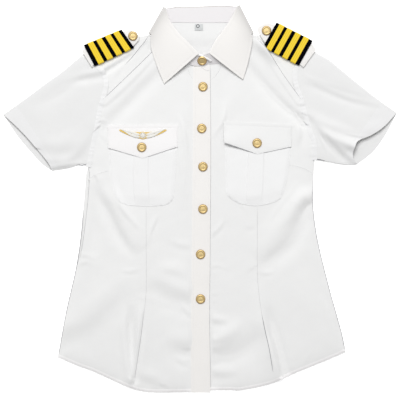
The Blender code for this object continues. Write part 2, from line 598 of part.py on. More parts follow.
def make_pocket(name, finish, spec):
    """A patch pocket with a raised box pleat, laid over the front."""
    pleat_l, pleat_r = spec["pleat"]
    left, right = smooth_path(spec["left"], 12), smooth_path(spec["right"], 12)
    curve = smooth_path(spec["bottom"], 24)

    def columns(start, end):
        """Places across the pocket, close together at the pleat's two edges."""
        return np.concatenate([np.linspace(start, pleat_l - PLEAT_RISE, 5),
                               np.linspace(pleat_l, pleat_r, 3),
                               np.linspace(pleat_r + PLEAT_RISE, end, 5)])

    low, high = columns(left[0, 0], right[0, 0]), columns(left[-1, 0], right[-1, 0])
    bottom = np.column_stack([low, np.interp(low, curve[:, 0], curve[:, 1])])
    bottom[0], bottom[-1] = left[0], right[0]
    top = np.column_stack([high, np.full(len(high), left[-1, 1])])
    plan = patch(bottom, top, left, right)
    rows = lay(plan, lambda x, y: front_top(x, y) + GAP + POCKET_EASE)
    rows[:, 5:8, 2] += PLEAT_RISE
    grid_object(name, finish, rows, CLOTH)


def make_flap(name, finish, spec):
    """A pointed pocket flap, sewn to the front above the pocket."""
    top = smooth_path(spec["top"], 10)
    low = np.vstack([np.linspace(spec["left"], spec["point"], 6),
                     np.linspace(spec["point"], spec["right"], 6)[1:]])
    shares = np.array([0, 0.3, 0.6, 0.9, 1.0])[:, None]
    left = low[0] * (1 - shares) + top[0] * shares
    right = low[-1] * (1 - shares) + top[-1] * shares
    plan = patch(low, top, left, right)
    grid_object(name, finish, lay(plan, lambda x, y: flap_height(x, y, top)), CLOTH)
    return top


def make_badge(finish, flap_top_row):
    """A plain winged badge, worked in thread on one flap: a round boss between two swept wings."""
    span = np.linspace(-1, 1, 25)
    out = np.abs(span)
    boss = np.sqrt(np.clip(1 - (out / 0.18) ** 2, 0, 1)) * BADGE_BOSS
    upper = np.maximum(boss, 5.0 + 4.5 * out ** 2)
    lower = -4.0 + 12.0 * out ** 1.6
    lower = np.where(boss > 0, np.minimum(-boss, lower), lower)
    centre_x, centre_y = BADGE_CENTRE
    x = centre_x + BADGE_WING * span
    low = np.column_stack([x, centre_y + lower])
    high = np.column_stack([x, centre_y + upper])
    plan = np.array([low, (low + high) / 2, high])
    grid_object("badge_wings", finish,
                lay(plan, lambda x, y: flap_height(x, y, flap_top_row) + CLOTH + GAP), BADGE_THICK)


# ---------------------------------------------------------------- straps, slides, buttons, label

def make_strap(name, finish, outline):
    """A shoulder strap, flat through its slide, with a pointed end at the neck."""
    mesh = bmesh.new()
    base = SLIDE_BASE + SLIDE_WALL + GAP
    mesh.faces.new([mesh.verts.new((x * MM, y * MM, base * MM)) for x, y in outline])
    finish_sheet(name, finish, mesh, STRAP_THICK, inward=False)


def make_slide(name, finish, corners, sign):
    """A shoulder slide, a flat tube round the strap, open at both ends."""
    stations, across = 4, 4
    upper = np.linspace(corners[0], corners[1], stations)
    lower = np.linspace(corners[3], corners[2], stations)
    out_upper = shifted(upper, -sign) - upper
    out_lower = shifted(lower, sign) - lower
    a, b = upper - out_upper * BEND, lower - out_lower * BEND
    plan = patch(np.linspace(a[0], b[0], across), np.linspace(a[-1], b[-1], across), a, b)
    bottom = lay(plan, lambda x, y: 0 * x + SLIDE_BASE)
    top = lay(plan, lambda x, y: 0 * x + SLIDE_BASE + SLIDE_HIGH)
    grid_object(name, finish, flat_tube(a, b, out_upper, out_lower, bottom, top, 4), SLIDE_WALL,
                closed=True, inward=True)


def make_button(name, finish, x, y, z, tilt=0.0):
    """A turned button with a raised rim, its flat back at height z."""
    mesh = bmesh.new()
    ring = [mesh.verts.new((radius * MM, 0, height * MM)) for radius, height in BUTTON_PROFILE]
    for a, b in zip(ring, ring[1:]):
        mesh.edges.new((a, b))
    data = bpy.data.meshes.new(name)
    mesh.to_mesh(data)
    mesh.free()
    data.materials.append(finish)
    piece = bpy.data.objects.new(name, data)
    collection.objects.link(piece)
    turn = piece.modifiers.new("turned", "SCREW")
    turn.steps = turn.render_steps = BUTTON_STEPS
    turn.use_merge_vertices = True
    turn.merge_threshold = 0.00001
    piece.location = (x * MM, y * MM, z * MM)
    piece.rotation_euler = (math.radians(tilt), 0, 0)


def seat_height(x, y, height):
    """Lowest seat for a button's back on a curved piece."""
    angles = np.linspace(0, 2 * math.pi, 13)
    return float(np.max(height(x + 7 * np.cos(angles), y + 7 * np.sin(angles)))) + CLOTH + GAP


def make_buttons(finish, flap_rows):
    placket_z = PLACKET_BASE + PLACKET_THICK + GAP
    for number, (x, y) in enumerate(PLACKET_BUTTONS, 1):
        make_button(f"button_front_{number}", finish, x, y, placket_z)
    for side, (x, y), row in zip(("right", "left"), FLAP_BUTTONS, flap_rows):
        seat = seat_height(x, y, lambda px, py: flap_height(px, py, row))
        make_button(f"button_flap_{side}", finish, x, y, seat)
    strap_z = SLIDE_BASE + SLIDE_WALL + STRAP_THICK + 2 * GAP
    for side, (x, y) in zip(("right", "left"), STRAP_BUTTONS):
        make_button(f"button_strap_{side}", finish, x, y, strap_z)
    make_button("button_collar", finish, *COLLAR_BUTTON, COLLAR_BUTTON_TILT)


def make_label(finish):
    """A small bare size label, sewn inside the back of the neck."""
    x0, x1, y0, y1 = LABEL
    mesh = bmesh.new()
    base = (COLLAR_LIFT + CLOTH + GAP) * MM
    mesh.faces.new([mesh.verts.new((x * MM, y * MM, base))
                    for x, y in ((x0, y0), (x1, y0), (x1, y1), (x0, y1))])
    finish_sheet("neck_label", finish, mesh, LABEL_THICK, inward=False)


def main():
    clear_scene()
    white = material("poplin_white", WHITE)
    band_white = material("poplin_double", BAND_WHITE)
    make_back(white)
    make_yoke(white)
    make_front_right(white)
    make_front_left(white)
    make_placket(band_white)
    make_sleeves(white)
    make_stand(band_white)
    make_collar(band_white)
    make_pocket("pocket_right", white, POCKET_L)
    make_pocket("pocket_left", white, POCKET_R)
    flap_rows = [make_flap("flap_right", white, FLAP_L), make_flap("flap_left", white, FLAP_R)]
    make_badge(material("thread_gold", BRASS), flap_rows[0])
    make_strap("strap_right", white, STRAP_L)
    make_strap("strap_left", white, STRAP_R)
    slide_black = material("slide_black", BLACK)
    make_slide("slide_right", slide_black, SLIDE_L, -1)
    make_slide("slide_left", slide_black, SLIDE_R, 1)
    make_buttons(material("brass", BRASS, 0.35, 1.0), flap_rows)
    make_label(material("label_grey", GREY))


main()
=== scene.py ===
"""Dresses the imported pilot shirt: cloth with its creases, sewing, slides, badge and buttons.

X runs to the viewer's right, Y to the collar and Z up from the surface that the shirt lies on.
Sizes in the tables are in millimetres. Each piece of cloth is a grid of rows laid over its panel's
form: the height of the fronts and sleeves is one rule, with the broad folds in one table and the
narrow creases in another, and what is sewn on a panel reads its height from the same rule.
"""
import math
from collections import namedtuple

import bpy
import numpy as np
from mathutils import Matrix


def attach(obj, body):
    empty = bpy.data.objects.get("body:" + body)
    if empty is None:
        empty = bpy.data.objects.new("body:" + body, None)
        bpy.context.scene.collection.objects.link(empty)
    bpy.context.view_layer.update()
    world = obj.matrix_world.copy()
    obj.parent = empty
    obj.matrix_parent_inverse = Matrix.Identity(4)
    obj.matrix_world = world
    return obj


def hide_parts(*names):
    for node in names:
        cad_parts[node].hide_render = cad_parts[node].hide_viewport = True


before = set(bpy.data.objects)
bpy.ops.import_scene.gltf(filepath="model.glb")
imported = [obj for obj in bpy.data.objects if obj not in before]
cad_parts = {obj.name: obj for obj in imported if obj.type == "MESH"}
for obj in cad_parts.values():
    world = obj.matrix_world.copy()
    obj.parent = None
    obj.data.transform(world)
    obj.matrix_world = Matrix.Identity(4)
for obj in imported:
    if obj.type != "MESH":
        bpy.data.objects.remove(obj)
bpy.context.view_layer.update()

bl_info = {
    "name": "Pilot Shirt",
    "version": (1, 0, 0),
    "blender": (4, 5, 0),
    "location": "View3D > Sidebar > Pilot Shirt",
    "description": "Builds the cloth, sewing, slides, badge and buttons of a shirt laid flat",
    "category": "Mesh",
}

MM = 0.001
UNDERLAP = 4.0         # how far the dressed front goes on under the placket's sewn edge
EDGE_PRESS = 0.15      # how far the placket presses that edge down
UNDER_RISE = 0.9       # rise of the covered front, which the placket presses less than in the model

# Cloth and the way its layers lie
CLOTH = 1.2            # one layer of cloth
GAP = 0.3              # clearance between pieces that are sewn or lie together
CURVE_GAP = 0.45       # the same along a curved seam
LOFT = 4.0             # underside of the top layer over the surface, away from all edges
FOLD_LOFT = 2.6        # the same at a folded edge
SEAM_LOFT = CLOTH + GAP      # the same at a sewn edge and at the hem
YOKE_LOFT = 3.2        # the same on the shoulder, where the yoke lies under the fronts
FOLD_REACH = 10.0      # distance over which the top layer rises from a folded edge
SEAM_REACH = 7.0       # distance over which it rises from a sewn edge
BEND = 1.9             # width of the bend at a folded edge
TUCK_FLAT = 8.0        # width of the front that lies on the yoke, from its edge
TUCK_REACH = 20.0      # the same to where it has come down again
COLLAR_LIFT = 1.5      # rise of the yoke where the back of the collar lies under it
COLLAR_ENDS = (255, 276)      # where that rise begins and is full, along y
COLLAR_SIDES = (93, 113)      # where it ends at each side
SOFT_FLOOR = 0.3       # how softly the cloth is held above what it lies on

# Outlines, as points (x, y). Left and right are those of the viewer.
NECK_POINT_L, NECK_POINT_R = (-75, 283), (80, 284)
SHOULDER_POINT_L, SHOULDER_POINT_R = (-192, 253), (192, 253)
UNDERARM_L, UNDERARM_R = (-190, 54), (195, 66)
SHOULDER_L = [NECK_POINT_L, (-83, 277.5), (-92, 279), (-122, 273), (-153, 264), SHOULDER_POINT_L]
SHOULDER_R = [NECK_POINT_R, (87, 277.5), (97, 279.5), (128, 277), (162, 264), SHOULDER_POINT_R]
YOKE_LINE_L = [(-165, 170), (-119, 214), (-82, 250), (-66, 264)]
YOKE_LINE_R = [(172, 170), (144, 209), (116, 252), (97, 273), (78, 268)]
YOKE_SEAM_L = [(-63, 259), (-79, 246), (-115, 210), (-161, 166)]      # tucked under the front
YOKE_SEAM_R = [(75, 262), (90, 268), (111, 248), (139, 205), (167, 166)]
ARMHOLE_LOW_L = [UNDERARM_L, (-185, 78), (-177, 116), (-170, 153), (-165, 170)]
ARMHOLE_LOW_R = [UNDERARM_R, (193, 99), (188, 112), (178, 143), (172, 170)]
ARMHOLE_HIGH_L = [(-165, 170), (-161, 186), (-160, 200), (-167, 218), (-178, 229), SHOULDER_POINT_L]
ARMHOLE_HIGH_R = [(172, 170), (164, 190), (161, 205), (163, 221), (174, 232), SHOULDER_POINT_R]
YOKE_BACK_Y = 190      # level of the yoke's back seam, hidden under the fronts
ARMHOLE_YOKE_L = [SHOULDER_POINT_L, (-180, 222), (-176, YOKE_BACK_Y)]
ARMHOLE_YOKE_R = [SHOULDER_POINT_R, (181, 222), (178, YOKE_BACK_Y)]
ARMHOLE_BACK_L = [(-176, YOKE_BACK_Y), (-177, 130), UNDERARM_L]
ARMHOLE_BACK_R = [(178, YOKE_BACK_Y), (181, 130), UNDERARM_R]
SIDE_L = [(-242, -269), (-228, -192), (-212, -121), (-204, -70), (-199, -19), (-196, 15),
          (-194, 42), UNDERARM_L]
SIDE_R = [(248, -260), (240, -223), (221, -155), (204, -87), (196, -44), (192, -2), (193, 32),
          UNDERARM_R]
HEM_L = [(-242, -269), (-207, -284), (-180, -294), (-136, -314), (-107, -325), (-76, -329),
         (-15, -328)]
HEM_R = [(-13, -326), (19, -325), (51, -325), (71, -325), (121, -314), (167, -294), (216, -274),
         (248, -260)]
NECK_L = [(-66, 264), (-60, 253), (-37, 239), (-20, 231), (-12, 228)]
NECK_R = [(-9, 229.5), (17, 229.5), (30, 232), (44, 240), (65, 256), (78, 268)]
NECK_BACK = [NECK_POINT_L, (-68, 297), (-51, 301.5), (0, 301.5), (51, 301.5), (70, 298),
             NECK_POINT_R]

PLACKET_L = [(-15, -329), (-15, -206), (-14, -87), (-12, 83), (-11.5, 228)]
PLACKET_R = [(18, -329), (16, -206), (17, -87), (18, 83), (17, 228)]
PLACKET_BASE = 3.1     # underside of the placket over the surface
PLACKET_TOP = 4.6      # top of the dressed placket, which is pressed flatter than in the model
PLACKET_EASE = 17.0    # distance over which the covered front rises beside the placket
PLACKET_RIGHT = PLACKET_R[0][0]
PLACKET_PRESSED = 3.0  # the covered front stays down this far beside the placket
PLACKET_THREAD = 3.6   # topstitching's distance from its edges

SLEEVE_TOP_L = [SHOULDER_POINT_L, (-236, 216), (-264, 196), (-292, 175), (-335, 144)]
SLEEVE_TOP_R = [SHOULDER_POINT_R, (221, 236), (245, 216), (296, 175), (335, 147)]
SLEEVE_UNDER_L = [UNDERARM_L, (-201, 59), (-214, 55), (-230, 51), (-252, 48)]
SLEEVE_UNDER_R = [UNDERARM_R, (221, 62), (246, 58), (266, 58)]
CUFF_BACK_L = [(-335, 144), (-308, 104), (-272, 63), (-252, 48)]
CUFF_BACK_R = [(335, 147), (316, 110), (294, 80), (266, 58)]
CUFF_FRONT_L = [(-335, 144), (-306, 117), (-280, 88), (-258, 61), (-252, 48)]
CUFF_FRONT_R = [(335, 147), (314, 124), (292, 109), (269, 99), (263, 88), (260, 74), (266, 58)]

# Folds of the top layer: how far each slope reaches to the left and right of its path, and the
# path as points (x, y, height). A negative height is a trough.
Fold = namedtuple("Fold", "left right path")
FOLDS = [Fold(*row) for row in (
    # chest, from the shoulders to the armholes
    (14, 14, [(-73, 236, 0), (-102, 206, -1.6), (-136, 168, -1.8), (-170, 131, -0.5)]),
    (12, 16, [(82, 233, 0), (105, 202, -1.8), (136, 168, -2.0), (172, 136, -1.0)]),
    (14, 10, [(60, 200, 0), (44, 150, 1.4), (38, 128, 1.2), (24, 104, 0)]),
    (14, 14, [(-30, 160, 0), (-27, 100, 1.4), (-24, 30, 1.2), (-26, -20, 0)]),
    # waist, across each side
    (12, 9, [(-186, 26, 0.5), (-153, -22, -2.4), (-136, -56, -2.0), (-116, -80, 0)]),
    (16, 12, [(-165, 20, 0), (-136, -14, 2.2), (-112, -50, 2.0), (-92, -84, 0)]),
    (9, 13, [(188, -6, 0), (170, -24, -2.4), (144, -70, -2.6), (99, -116, 0)]),
    (13, 18, [(180, 22, 0), (150, -24, 2.6), (120, -62, 2.2), (88, -96, 0)]),
    # beside the placket
    (10, 12, [(-85, -146, 0), (-60, -151, -0.6), (-34, -162, -0.7), (-17, -168, -0.3)]),
    (12, 10, [(-80, -116, 0), (-48, -118, 1.8), (-20, -128, 0.8)]),
    (12, 12, [(20, -258, -0.6), (42, -252, -1.8), (68, -233, -1.6), (88, -204, 0)]),
    (14, 12, [(20, -232, 0.4), (48, -226, 1.8), (70, -204, 0)]),
    # skirt, down to the hem
    (12, 16, [(-97, -160, 0), (-100, -223, 2.0), (-107, -274, 2.4), (-116, -312, 1.6)]),
    (16, 12, [(-122, -180, 0), (-126, -240, -1.6), (-134, -300, -1.2)]),
    (20, 20, [(-94, -129, 0), (-144, -163, 2.0), (-187, -214, 2.0), (-221, -248, 0.5)]),
    (10, 16, [(97, -140, 0), (104, -206, 3.2), (115, -257, 3.6), (122, -306, 2.2)]),
    (10, 14, [(116, -176, 0), (128, -230, -1.8), (142, -296, -1.6)]),
    (18, 18, [(170, -120, 0), (190, -180, 1.8), (206, -236, 1.0)]),
    # sleeves, from the armholes to the cuffs
    (12, 12, [(-170, 222, -0.5), (-212, 204, -2.0), (-255, 172, -1.6), (-292, 152, 0)]),
    (12, 9, [(-253, 66, 3.0), (-226, 68, 3.2), (-205, 86, 2.8), (-186, 116, 0.6)]),
    (12, 12, [(172, 200, 0), (218, 184, -1.6), (262, 168, -1.8), (300, 156, 0)]),
    (15, 9, [(190, 132, 0), (218, 113, 3.5), (249, 95, 7.5), (266, 88, 9.0)]),
    (16, 14, [(230, 150, 0), (280, 120, 2.0), (306, 114, 2.0)]),
    # the front's edge, where it lies over the corner of the right shoulder slide
    (14, 10, [(93, 276, 1.0), (104, 263, 6.6), (113, 253, 7.2), (134, 226, 0)]),
)]

# Collar: the line where it rolls over, and its free edge, as rows (roll x, y, z, edge x, y, z) from
# the front edge back to the side of the neck; then the fold at the side and half of the back.
LEAF_L = [(-3, 246, 14.2, -61, 196, 7.2), (-17, 261, 14.4, -72, 223, 7.8),
          (-38, 282, 12.5, -82, 253, 9), (-53, 304, 10.5, -84, 270, 9.8)]
LEAF_R = [(16, 247, 13.8, 73, 203, 7.6), (27, 268, 14.2, 82, 233, 8.4),
          (46, 294, 12.5, 88, 262, 10.2), (56, 311, 10.8, 89, 272, 10.4)]
SIDE_FOLD_L = [(-63, 326), (-88, 282)]       # outermost line of the side fold, roll to edge
SIDE_FOLD_R = [(68, 329), (92, 282)]
LEAF_TOP = 10.0                              # height of the leaf at the side fold
# Reach of the shade painted on the collar near each side fold
PAINTED_SHADE_REACH = 11.0                      # distance over which the side fold's shade dies away
LEAF_CROWN = 0.8                             # rise of each leaf between its roll and its edge
LEAF_CURL = 1.2                              # radius of the leaf's roll
LEAF_THREAD, LEAF_ROLL_THREAD = 4.6, 7.5     # topstitching's distance from its edges and roll
COLLAR_BACK = [(-36, 326.5, 0, -50, 281, 0), (0, 327, 0, 0, 280, 0), (36, 328.5, 0, 50, 281, 0)]

# Collar stand: rows (roll x, y, z, neck x, y) and what the neck edge of each row lies on
STAND_TAB = [(14, 239, 8.2, 12, 229), (7, 244, 10.0, 4, 227), (-2, 247, 10.8, -10, 226.5)]
TAB_LIP = [(-10, 247, 12.2), (-1, 244.5, 12.6), (8, 240.5, 12.0), (15, 237, 10.6), (19, 234, 8.8)]
STAND_L = [(-17, 260, 14.2, -30, 233), (-37, 281, 10.6, -58, 249), (-51, 302, 8.8, -76, 271)]
STAND_R = [(56, 309, 9.0, 82, 275), (45, 293, 10.6, 69, 258), (26, 267, 13.6, 46, 239),
           (15, 248, 13.4, 28, 230)]
TAB_SECTION = [(-1.9, -1.3), (-1.4, -0.3), (-0.6, 0.0), (0.6, 0.0), (1.4, -0.3), (1.9, -1.3)]
STAND_UNDER = [(8, 245.5, 10.4, 12, 229), (-4, 243.5, 10.0, -8, 229)]
STAND_BACK = [(-36, 325.5, 1.5, -52, 300), (0, 326, 1.5, 0, 300), (36, 327.5, 1.5, 52, 300)]
STAND_NECK_SHARE = 0.72                      # share of the side fold's length that the stand takes

# Pockets, flaps and what is on them
POCKET_L = dict(
    left=[(-134, -6.5), (-143, 4), (-148, 18), (-152, 38), (-154, 62), (-155, 117)],
    right=[(-52, -7), (-46.5, 0), (-44, 12), (-42, 40), (-40, 80), (-38.5, 117)],
    bottom=[(-134, -6.5), (-120, -10.5), (-91, -12), (-62, -10.5), (-52, -7)],
    pleat=(-109, -87))
POCKET_R = dict(
    left=[(56, -2), (46, 8), (44, 24), (43, 87), (43, 121)],
    right=[(138, 2), (146, 26), (151, 55), (154, 86), (154, 121)],
    bottom=[(56, -2), (70, -8), (96, -11.5), (124, -6), (138, 2)],
    pleat=(83, 107))
FLAP_L = dict(top=[(-157, 125), (-97, 126), (-38, 126)],
              left=(-156, 86.5), point=(-97, 68.8), right=(-38, 88.5))
FLAP_R = dict(top=[(40, 131), (97, 129), (156, 126)],
              left=(41, 95.5), point=(97, 75.8), right=(155, 88.5))
POCKET_EASE = 0.3      # the pocket's further rise over the curved front
POCKET_PRESS = 1.05    # how far the pocket's sewn borders are pressed down
PLEAT_RISE = 0.64      # the box pleat's rise over the pocket
PLEAT_COLUMNS, PLEAT_STEPS = 30, 16          # columns of cloth beside the pleat and on it
UNDER_FLAP = 0.7       # how far the flap presses the top of the pocket down
UNDER_FLAP_ENDS = (22, 38)                   # where that ends, measured from the pocket's top
POCKET_HELD = 7.0      # width of its pressed borders
LOWER_BORDER = 2.8     # how much wider the lower border is than the others
POCKET_THREAD = 2.0    # topstitching's distance from the pocket's edges
FLAP_SEWN = 1.5        # height of the flap over the front at its sewn edge
FLAP_CROWN = 1.2       # its further rise over the pocket
FLAP_CROWN_REACH = 40.0       # distance over which it rises
FLAP_RUMPLE = 0.4      # share of the cloth's unevenness that it keeps
FLAP_SIDE_PRESS = 0.9  # how far its side edges are pressed down
FLAP_SIDE = 10.0       # width of those edges
FLAP_PRESS_ENDS = (4, 20)     # where the pressing begins and is full, from the sewn edge
FLAP_LIFT = (41, 95, 4.0, 26.0)   # lifted corner of the right flap: x, y, height, reach
FLAP_THREAD, FLAP_TOP_THREAD = 1.8, 5.0      # topstitching's distance from its edges and its top
BADGE_CENTRE = (-97, 108)
BADGE_WING = 40.0      # length of one wing
BADGE_BOSS = 6.2       # radius of its round boss
BADGE_HALF = 5.4       # half of the wings' height beside the boss
BOSS_RING, BOSS_WIRE, BOSS_DOME = 4.6, 0.7, 3.6        # radii of what lies on the boss

# Shoulder straps with their slides
STRAP_L = [(-197, 258), (-200, 250), (-183.5, 223.5), (-180.5, 228.5), (-113, 260), (-104, 270),
           (-102.5, 277), (-120, 289)]
STRAP_R = [(190, 265), (197.5, 254), (176, 223.5), (169.8, 228.5), (110, 265), (97.5, 286),
           (98, 292.5), (114.5, 300.5), (122, 297.8)]
# Corners of the slides: outer upper, inner upper, inner lower, outer lower
SLIDE_L = [(-197.5, 261.5), (-133, 288), (-112, 257), (-179, 225.5)]
SLIDE_R = [(191.5, 268.8), (130, 300), (107, 258.2), (168, 226.6)]
SLIDE_BASE = 5.3       # underside of the slide over the surface
SLIDE_WALL = 1.0
SLIDE_HIGH = 3.8
FELT_WALL = 0.9
STRAP_THICK = 1.2
STRAP_THREAD = 3.0     # topstitching's distance from its edges

# Buttons
PLACKET_BUTTONS = [(5, 191), (3, 120), (5, 55), (5, -17), (1, -94), (1, -170)]
FLAP_BUTTONS = [(-99, 88), (97, 95)]
STRAP_BUTTONS = [(-114, 277), (113, 286)]
COLLAR_BUTTON = (3.5, 235.0, 8.7)    # on the tab of the stand, tilted with it
COLLAR_BUTTON_TILT = 22.0

LABEL = (-9, 5, 287, 297.5)       # x from, to, y from, to, inside the back of the neck
LABEL_RUMPLE = 0.12
LABEL_RING = (-3.6, 294.2, 3.0, 0.9, 0.25)   # x, y, radius, width and height of the ring on it

# Narrow creases: half width, lean (which flank catches the light: -1 the lower, 1 the upper), and
# the path of the shaded slope as points (x, y, steepness)
Crease = namedtuple("Crease", "width lean path")
CREASES = [Crease(*row) for row in (
    # chest
    (14, 0.0, [(-67, 228, 0.05), (-84, 209, 0.13), (-104, 189, 0.15), (-134, 158, 0.15),
               (-166, 128, 0.06)]),
    (9, -0.2, [(84, 232, 0.05), (108, 200, 0.10), (136, 170, 0.10), (158, 150, 0.14),
               (174, 134, 0.18)]),
    (7, 0.0, [(166, 138, 0.10), (172, 120, 0.20), (172, 104, 0.12), (168, 88, 0)]),
    (3, 0.2, [(126, 236, 0), (140, 219, 0.08), (156, 198, 0.06), (166, 180, 0)]),
    (8, 0.0, [(-166, 114, 0.03), (-160, 84, 0.03), (-151, 48, 0.04), (-141, 16, 0.06),
              (-128, -12, 0.04)]),
    (4, 0.3, [(-38, 150, 0), (-25, 117, 0.17), (-17, 62, 0)]),
    (4, 0.0, [(-37, 117, 0), (-29, 60, 0.11), (-22, -2, 0)]),
    (4, 0.6, [(46, 166, 0), (41, 134, 0.17), (26, 109, 0.06), (21, 96, 0)]),
    (3, 0.4, [(-178, 130, 0), (-166, 132, 0.16), (-156, 126, 0)]),
    (3, -0.3, [(-174, 114, 0), (-165, 102, 0.14), (-160, 92, 0)]),
    # waist, viewer's left
    (12, 0.1, [(-173, 26, 0.05), (-156, -16, 0.15), (-140, -49, 0.17), (-124, -73, 0.15),
               (-104, -95, 0)]),
    (5, 0.3, [(-146, 8, 0), (-134, -17, 0.14), (-117, -38, 0.12), (-99, -58, 0)]),
    (14, 0.0, [(-190, 10, 0), (-189, -48, 0.12), (-190, -80, 0.08), (-184, -104, 0.02),
               (-168, -112, 0)]),
    (4, 0.3, [(-70, -26, 0), (-79, -48, 0.16), (-88, -78, 0)]),
    (7, 0.1, [(-56, -70, 0), (-36, -80, 0.06), (-14, -83, 0.04)]),
    # waist, viewer's right
    (16, 0.1, [(200, 0, 0.16), (180, -8, 0.19), (167, -36, 0.17), (153, -66, 0.18),
               (132, -88, 0.15), (100, -111, 0.02)]),
    (4, 0.5, [(168, 30, 0), (152, 6, 0.05), (130, -22, 0.05), (112, -52, 0)]),
    (3, 0.3, [(60, 0, 0), (70, -12, 0.10), (84, -28, 0)]),
    (5, 0.2, [(44, -34, 0), (34, -50, 0.13), (20, -64, 0.10)]),
    # beside the placket
    (20, 0.0, [(-94, -134, 0), (-68, -150, 0.07), (-42, -164, 0.10), (-15, -170, 0.09)]),
    (9, 0.0, [(-94, -172, 0.02), (-72, -178, 0.03), (-44, -186, 0.03), (-18, -194, 0.05)]),
    (5, 0.3, [(-36, -174, 0), (-24, -192, 0.10), (-15, -203, 0.06)]),
    (20, 0.0, [(-64, -242, 0), (-36, -250, 0.08), (-15, -252, 0.09)]),
    (6, 0.0, [(-46, -270, 0), (-30, -277, 0.08), (-19, -278, 0.07)]),
    (12, 0.0, [(-116, -300, 0), (-92, -306, 0.08), (-72, -314, 0.05)]),
    (5, 0.2, [(-46, -270, 0), (-30, -282, 0.07), (-18, -284, 0.05)]),
    (4, 0.3, [(19, -117, 0.09), (32, -115, 0.07), (52, -124, 0)]),
    (4, 0.3, [(20, -164, 0.08), (38, -160, 0)]),
    (8, 0.3, [(20, -207, 0.12), (34, -209, 0.10), (52, -211, 0)]),
    (22, 0.0, [(18, -258, 0.10), (41, -258, 0.12), (63, -250, 0.12), (84, -232, 0.09),
               (102, -206, 0)]),
    (6, 0.0, [(19, -243, 0.10), (32, -241, 0.06), (48, -236, 0)]),
    (11, 0.0, [(18, -297, 0.09), (41, -299, 0.09), (70, -296, 0)]),
    # skirt
    (5, 0.0, [(-97, -180, 0), (-99, -205, 0.20), (-102, -232, 0.40), (-106, -262, 0.42),
              (-112, -308, 0.30)]),
    (9, 0.0, [(-122, -180, 0), (-123, -215, 0.28), (-121, -255, 0.34), (-117, -300, 0.20)]),
    (5, 0.3, [(-138, -124, 0), (-118, -125, 0.08), (-99, -120, 0)]),
    (9, 0.0, [(108, -186, 0), (118, -222, 0.26), (127, -250, 0.42), (134, -276, 0.46),
              (140, -300, 0.36)]),
    (4, 0.3, [(102, -127, 0.04), (114, -128, 0.10), (130, -124, 0)]),
    (4, 0.0, [(190, -258, 0), (185, -270, 0.08), (180, -282, 0)]),
    (24, 0.0, [(-112, -126, 0), (-138, -148, 0.04), (-166, -182, 0.07), (-198, -214, 0.08),
               (-244, -238, 0.08)]),
    (5, 0.2, [(-206, -97, 0.04), (-192, -99, 0.07), (-176, -106, 0)]),
    (5, 0.2, [(-206, -114, 0.03), (-193, -109, 0.06), (-180, -116, 0)]),
    (6, 0.3, [(206, -160, 0), (213, -176, 0.06), (230, -222, 0.05), (238, -240, 0)]),
    (5, 0.0, [(74, -46, 0), (86, -50, 0.06), (94, -46, 0)]),
    # sleeves
    (3, 0.6, [(172, 216, 0), (183, 206, 0.08), (206, 198, 0.06), (248, 185, 0.03), (300, 170, 0)]),
    (6, 0.0, [(172, 202, 0), (200, 192, 0.10), (228, 179, 0.12), (258, 168, 0.10),
              (300, 158, 0.04)]),
    (8, 0.2, [(189, 136, 0.05), (207, 114, 0.15), (228, 92, 0.20), (248, 73, 0.22),
              (263, 62, 0.14)]),
    (9, 0.0, [(184, 140, 0.06), (212, 125, 0.12), (248, 112, 0.12), (276, 104, 0.06)]),
    (3, 0.3, [(240, 112, 0), (266, 106, 0.12), (290, 104, 0)]),
    (8, 0.0, [(-154, 216, 0.18), (-178, 211, 0.20), (-202, 206, 0.16), (-228, 197, 0.06),
              (-256, 182, 0)]),
    (8, 0.4, [(-190, 190, 0), (-221, 190, 0.05), (-258, 170, 0)]),
    (18, 0.0, [(-268, 84, 0.05), (-242, 80, 0.10), (-216, 88, 0.10), (-199, 106, 0.04),
               (-190, 128, 0)]),
    (5, 0.0, [(-256, 51, 0.16), (-232, 54, 0.22), (-206, 58, 0.16)]),
    (3, 0.4, [(196, 118, 0), (206, 98, 0.12), (216, 76, 0)]),
    (3, 0.3, [(199, 124, 0), (214, 98, 0.10), (236, 72, 0)]),
)]
# Creases of the yoke's shoulder parts and gathers under the slides
YOKE_CREASES = [Crease(*row) for row in (
    (3, 0.3, [(-86, 276, 0), (-98, 260, 0.12), (-112, 243, 0)]),
    (4, 0.0, [(-153, 235, 0.10), (-156, 214, 0)]),
    (3, 0.4, [(-138, 228, 0.12), (-133, 209, 0)]),
    (5, -0.1, [(-176, 211, 0.30), (-158, 221, 0.34), (-140, 232, 0.28), (-118, 246, 0.14),
               (-104, 256, 0)]),
    (4, 0.3, [(-122, 240, 0), (-140, 214, 0.06), (-152, 196, 0)]),
    (3, 0.3, [(118, 252, 0), (132, 236, 0.10), (150, 214, 0)]),
)]
PUCKER_REACH = 8.0     # how far the small puckers of a seam run into the cloth
PUCKER_PITCH = 9.0     # distance between them
PUCKER_HIGH = 0.16     # their height

# Front edge at the viewer's left of the waist, where a strip of the back shows beside it
SIDE_FRONT_L = [(-241.5, -269), (-227.5, -192), (-211, -121), (-202, -92), (-197, -60),
                (-192, -19), (-189, 15), (-187.5, 42), UNDERARM_L]


# ---------------------------------------------------------------- curves and patches

CURVE_STEPS = 12       # steps between two given points of a smooth curve


def run_along(line):
    """Length from the start of a line to each of its points."""
    return np.concatenate([[0], np.cumsum(np.linalg.norm(np.diff(line, axis=0), axis=1))])


def at_lengths(spots, run, line):
    """Points of a line at the given lengths, from the length at each of its own points."""
    return np.column_stack([np.interp(spots, run, line[:, c]) for c in range(line.shape[1])])


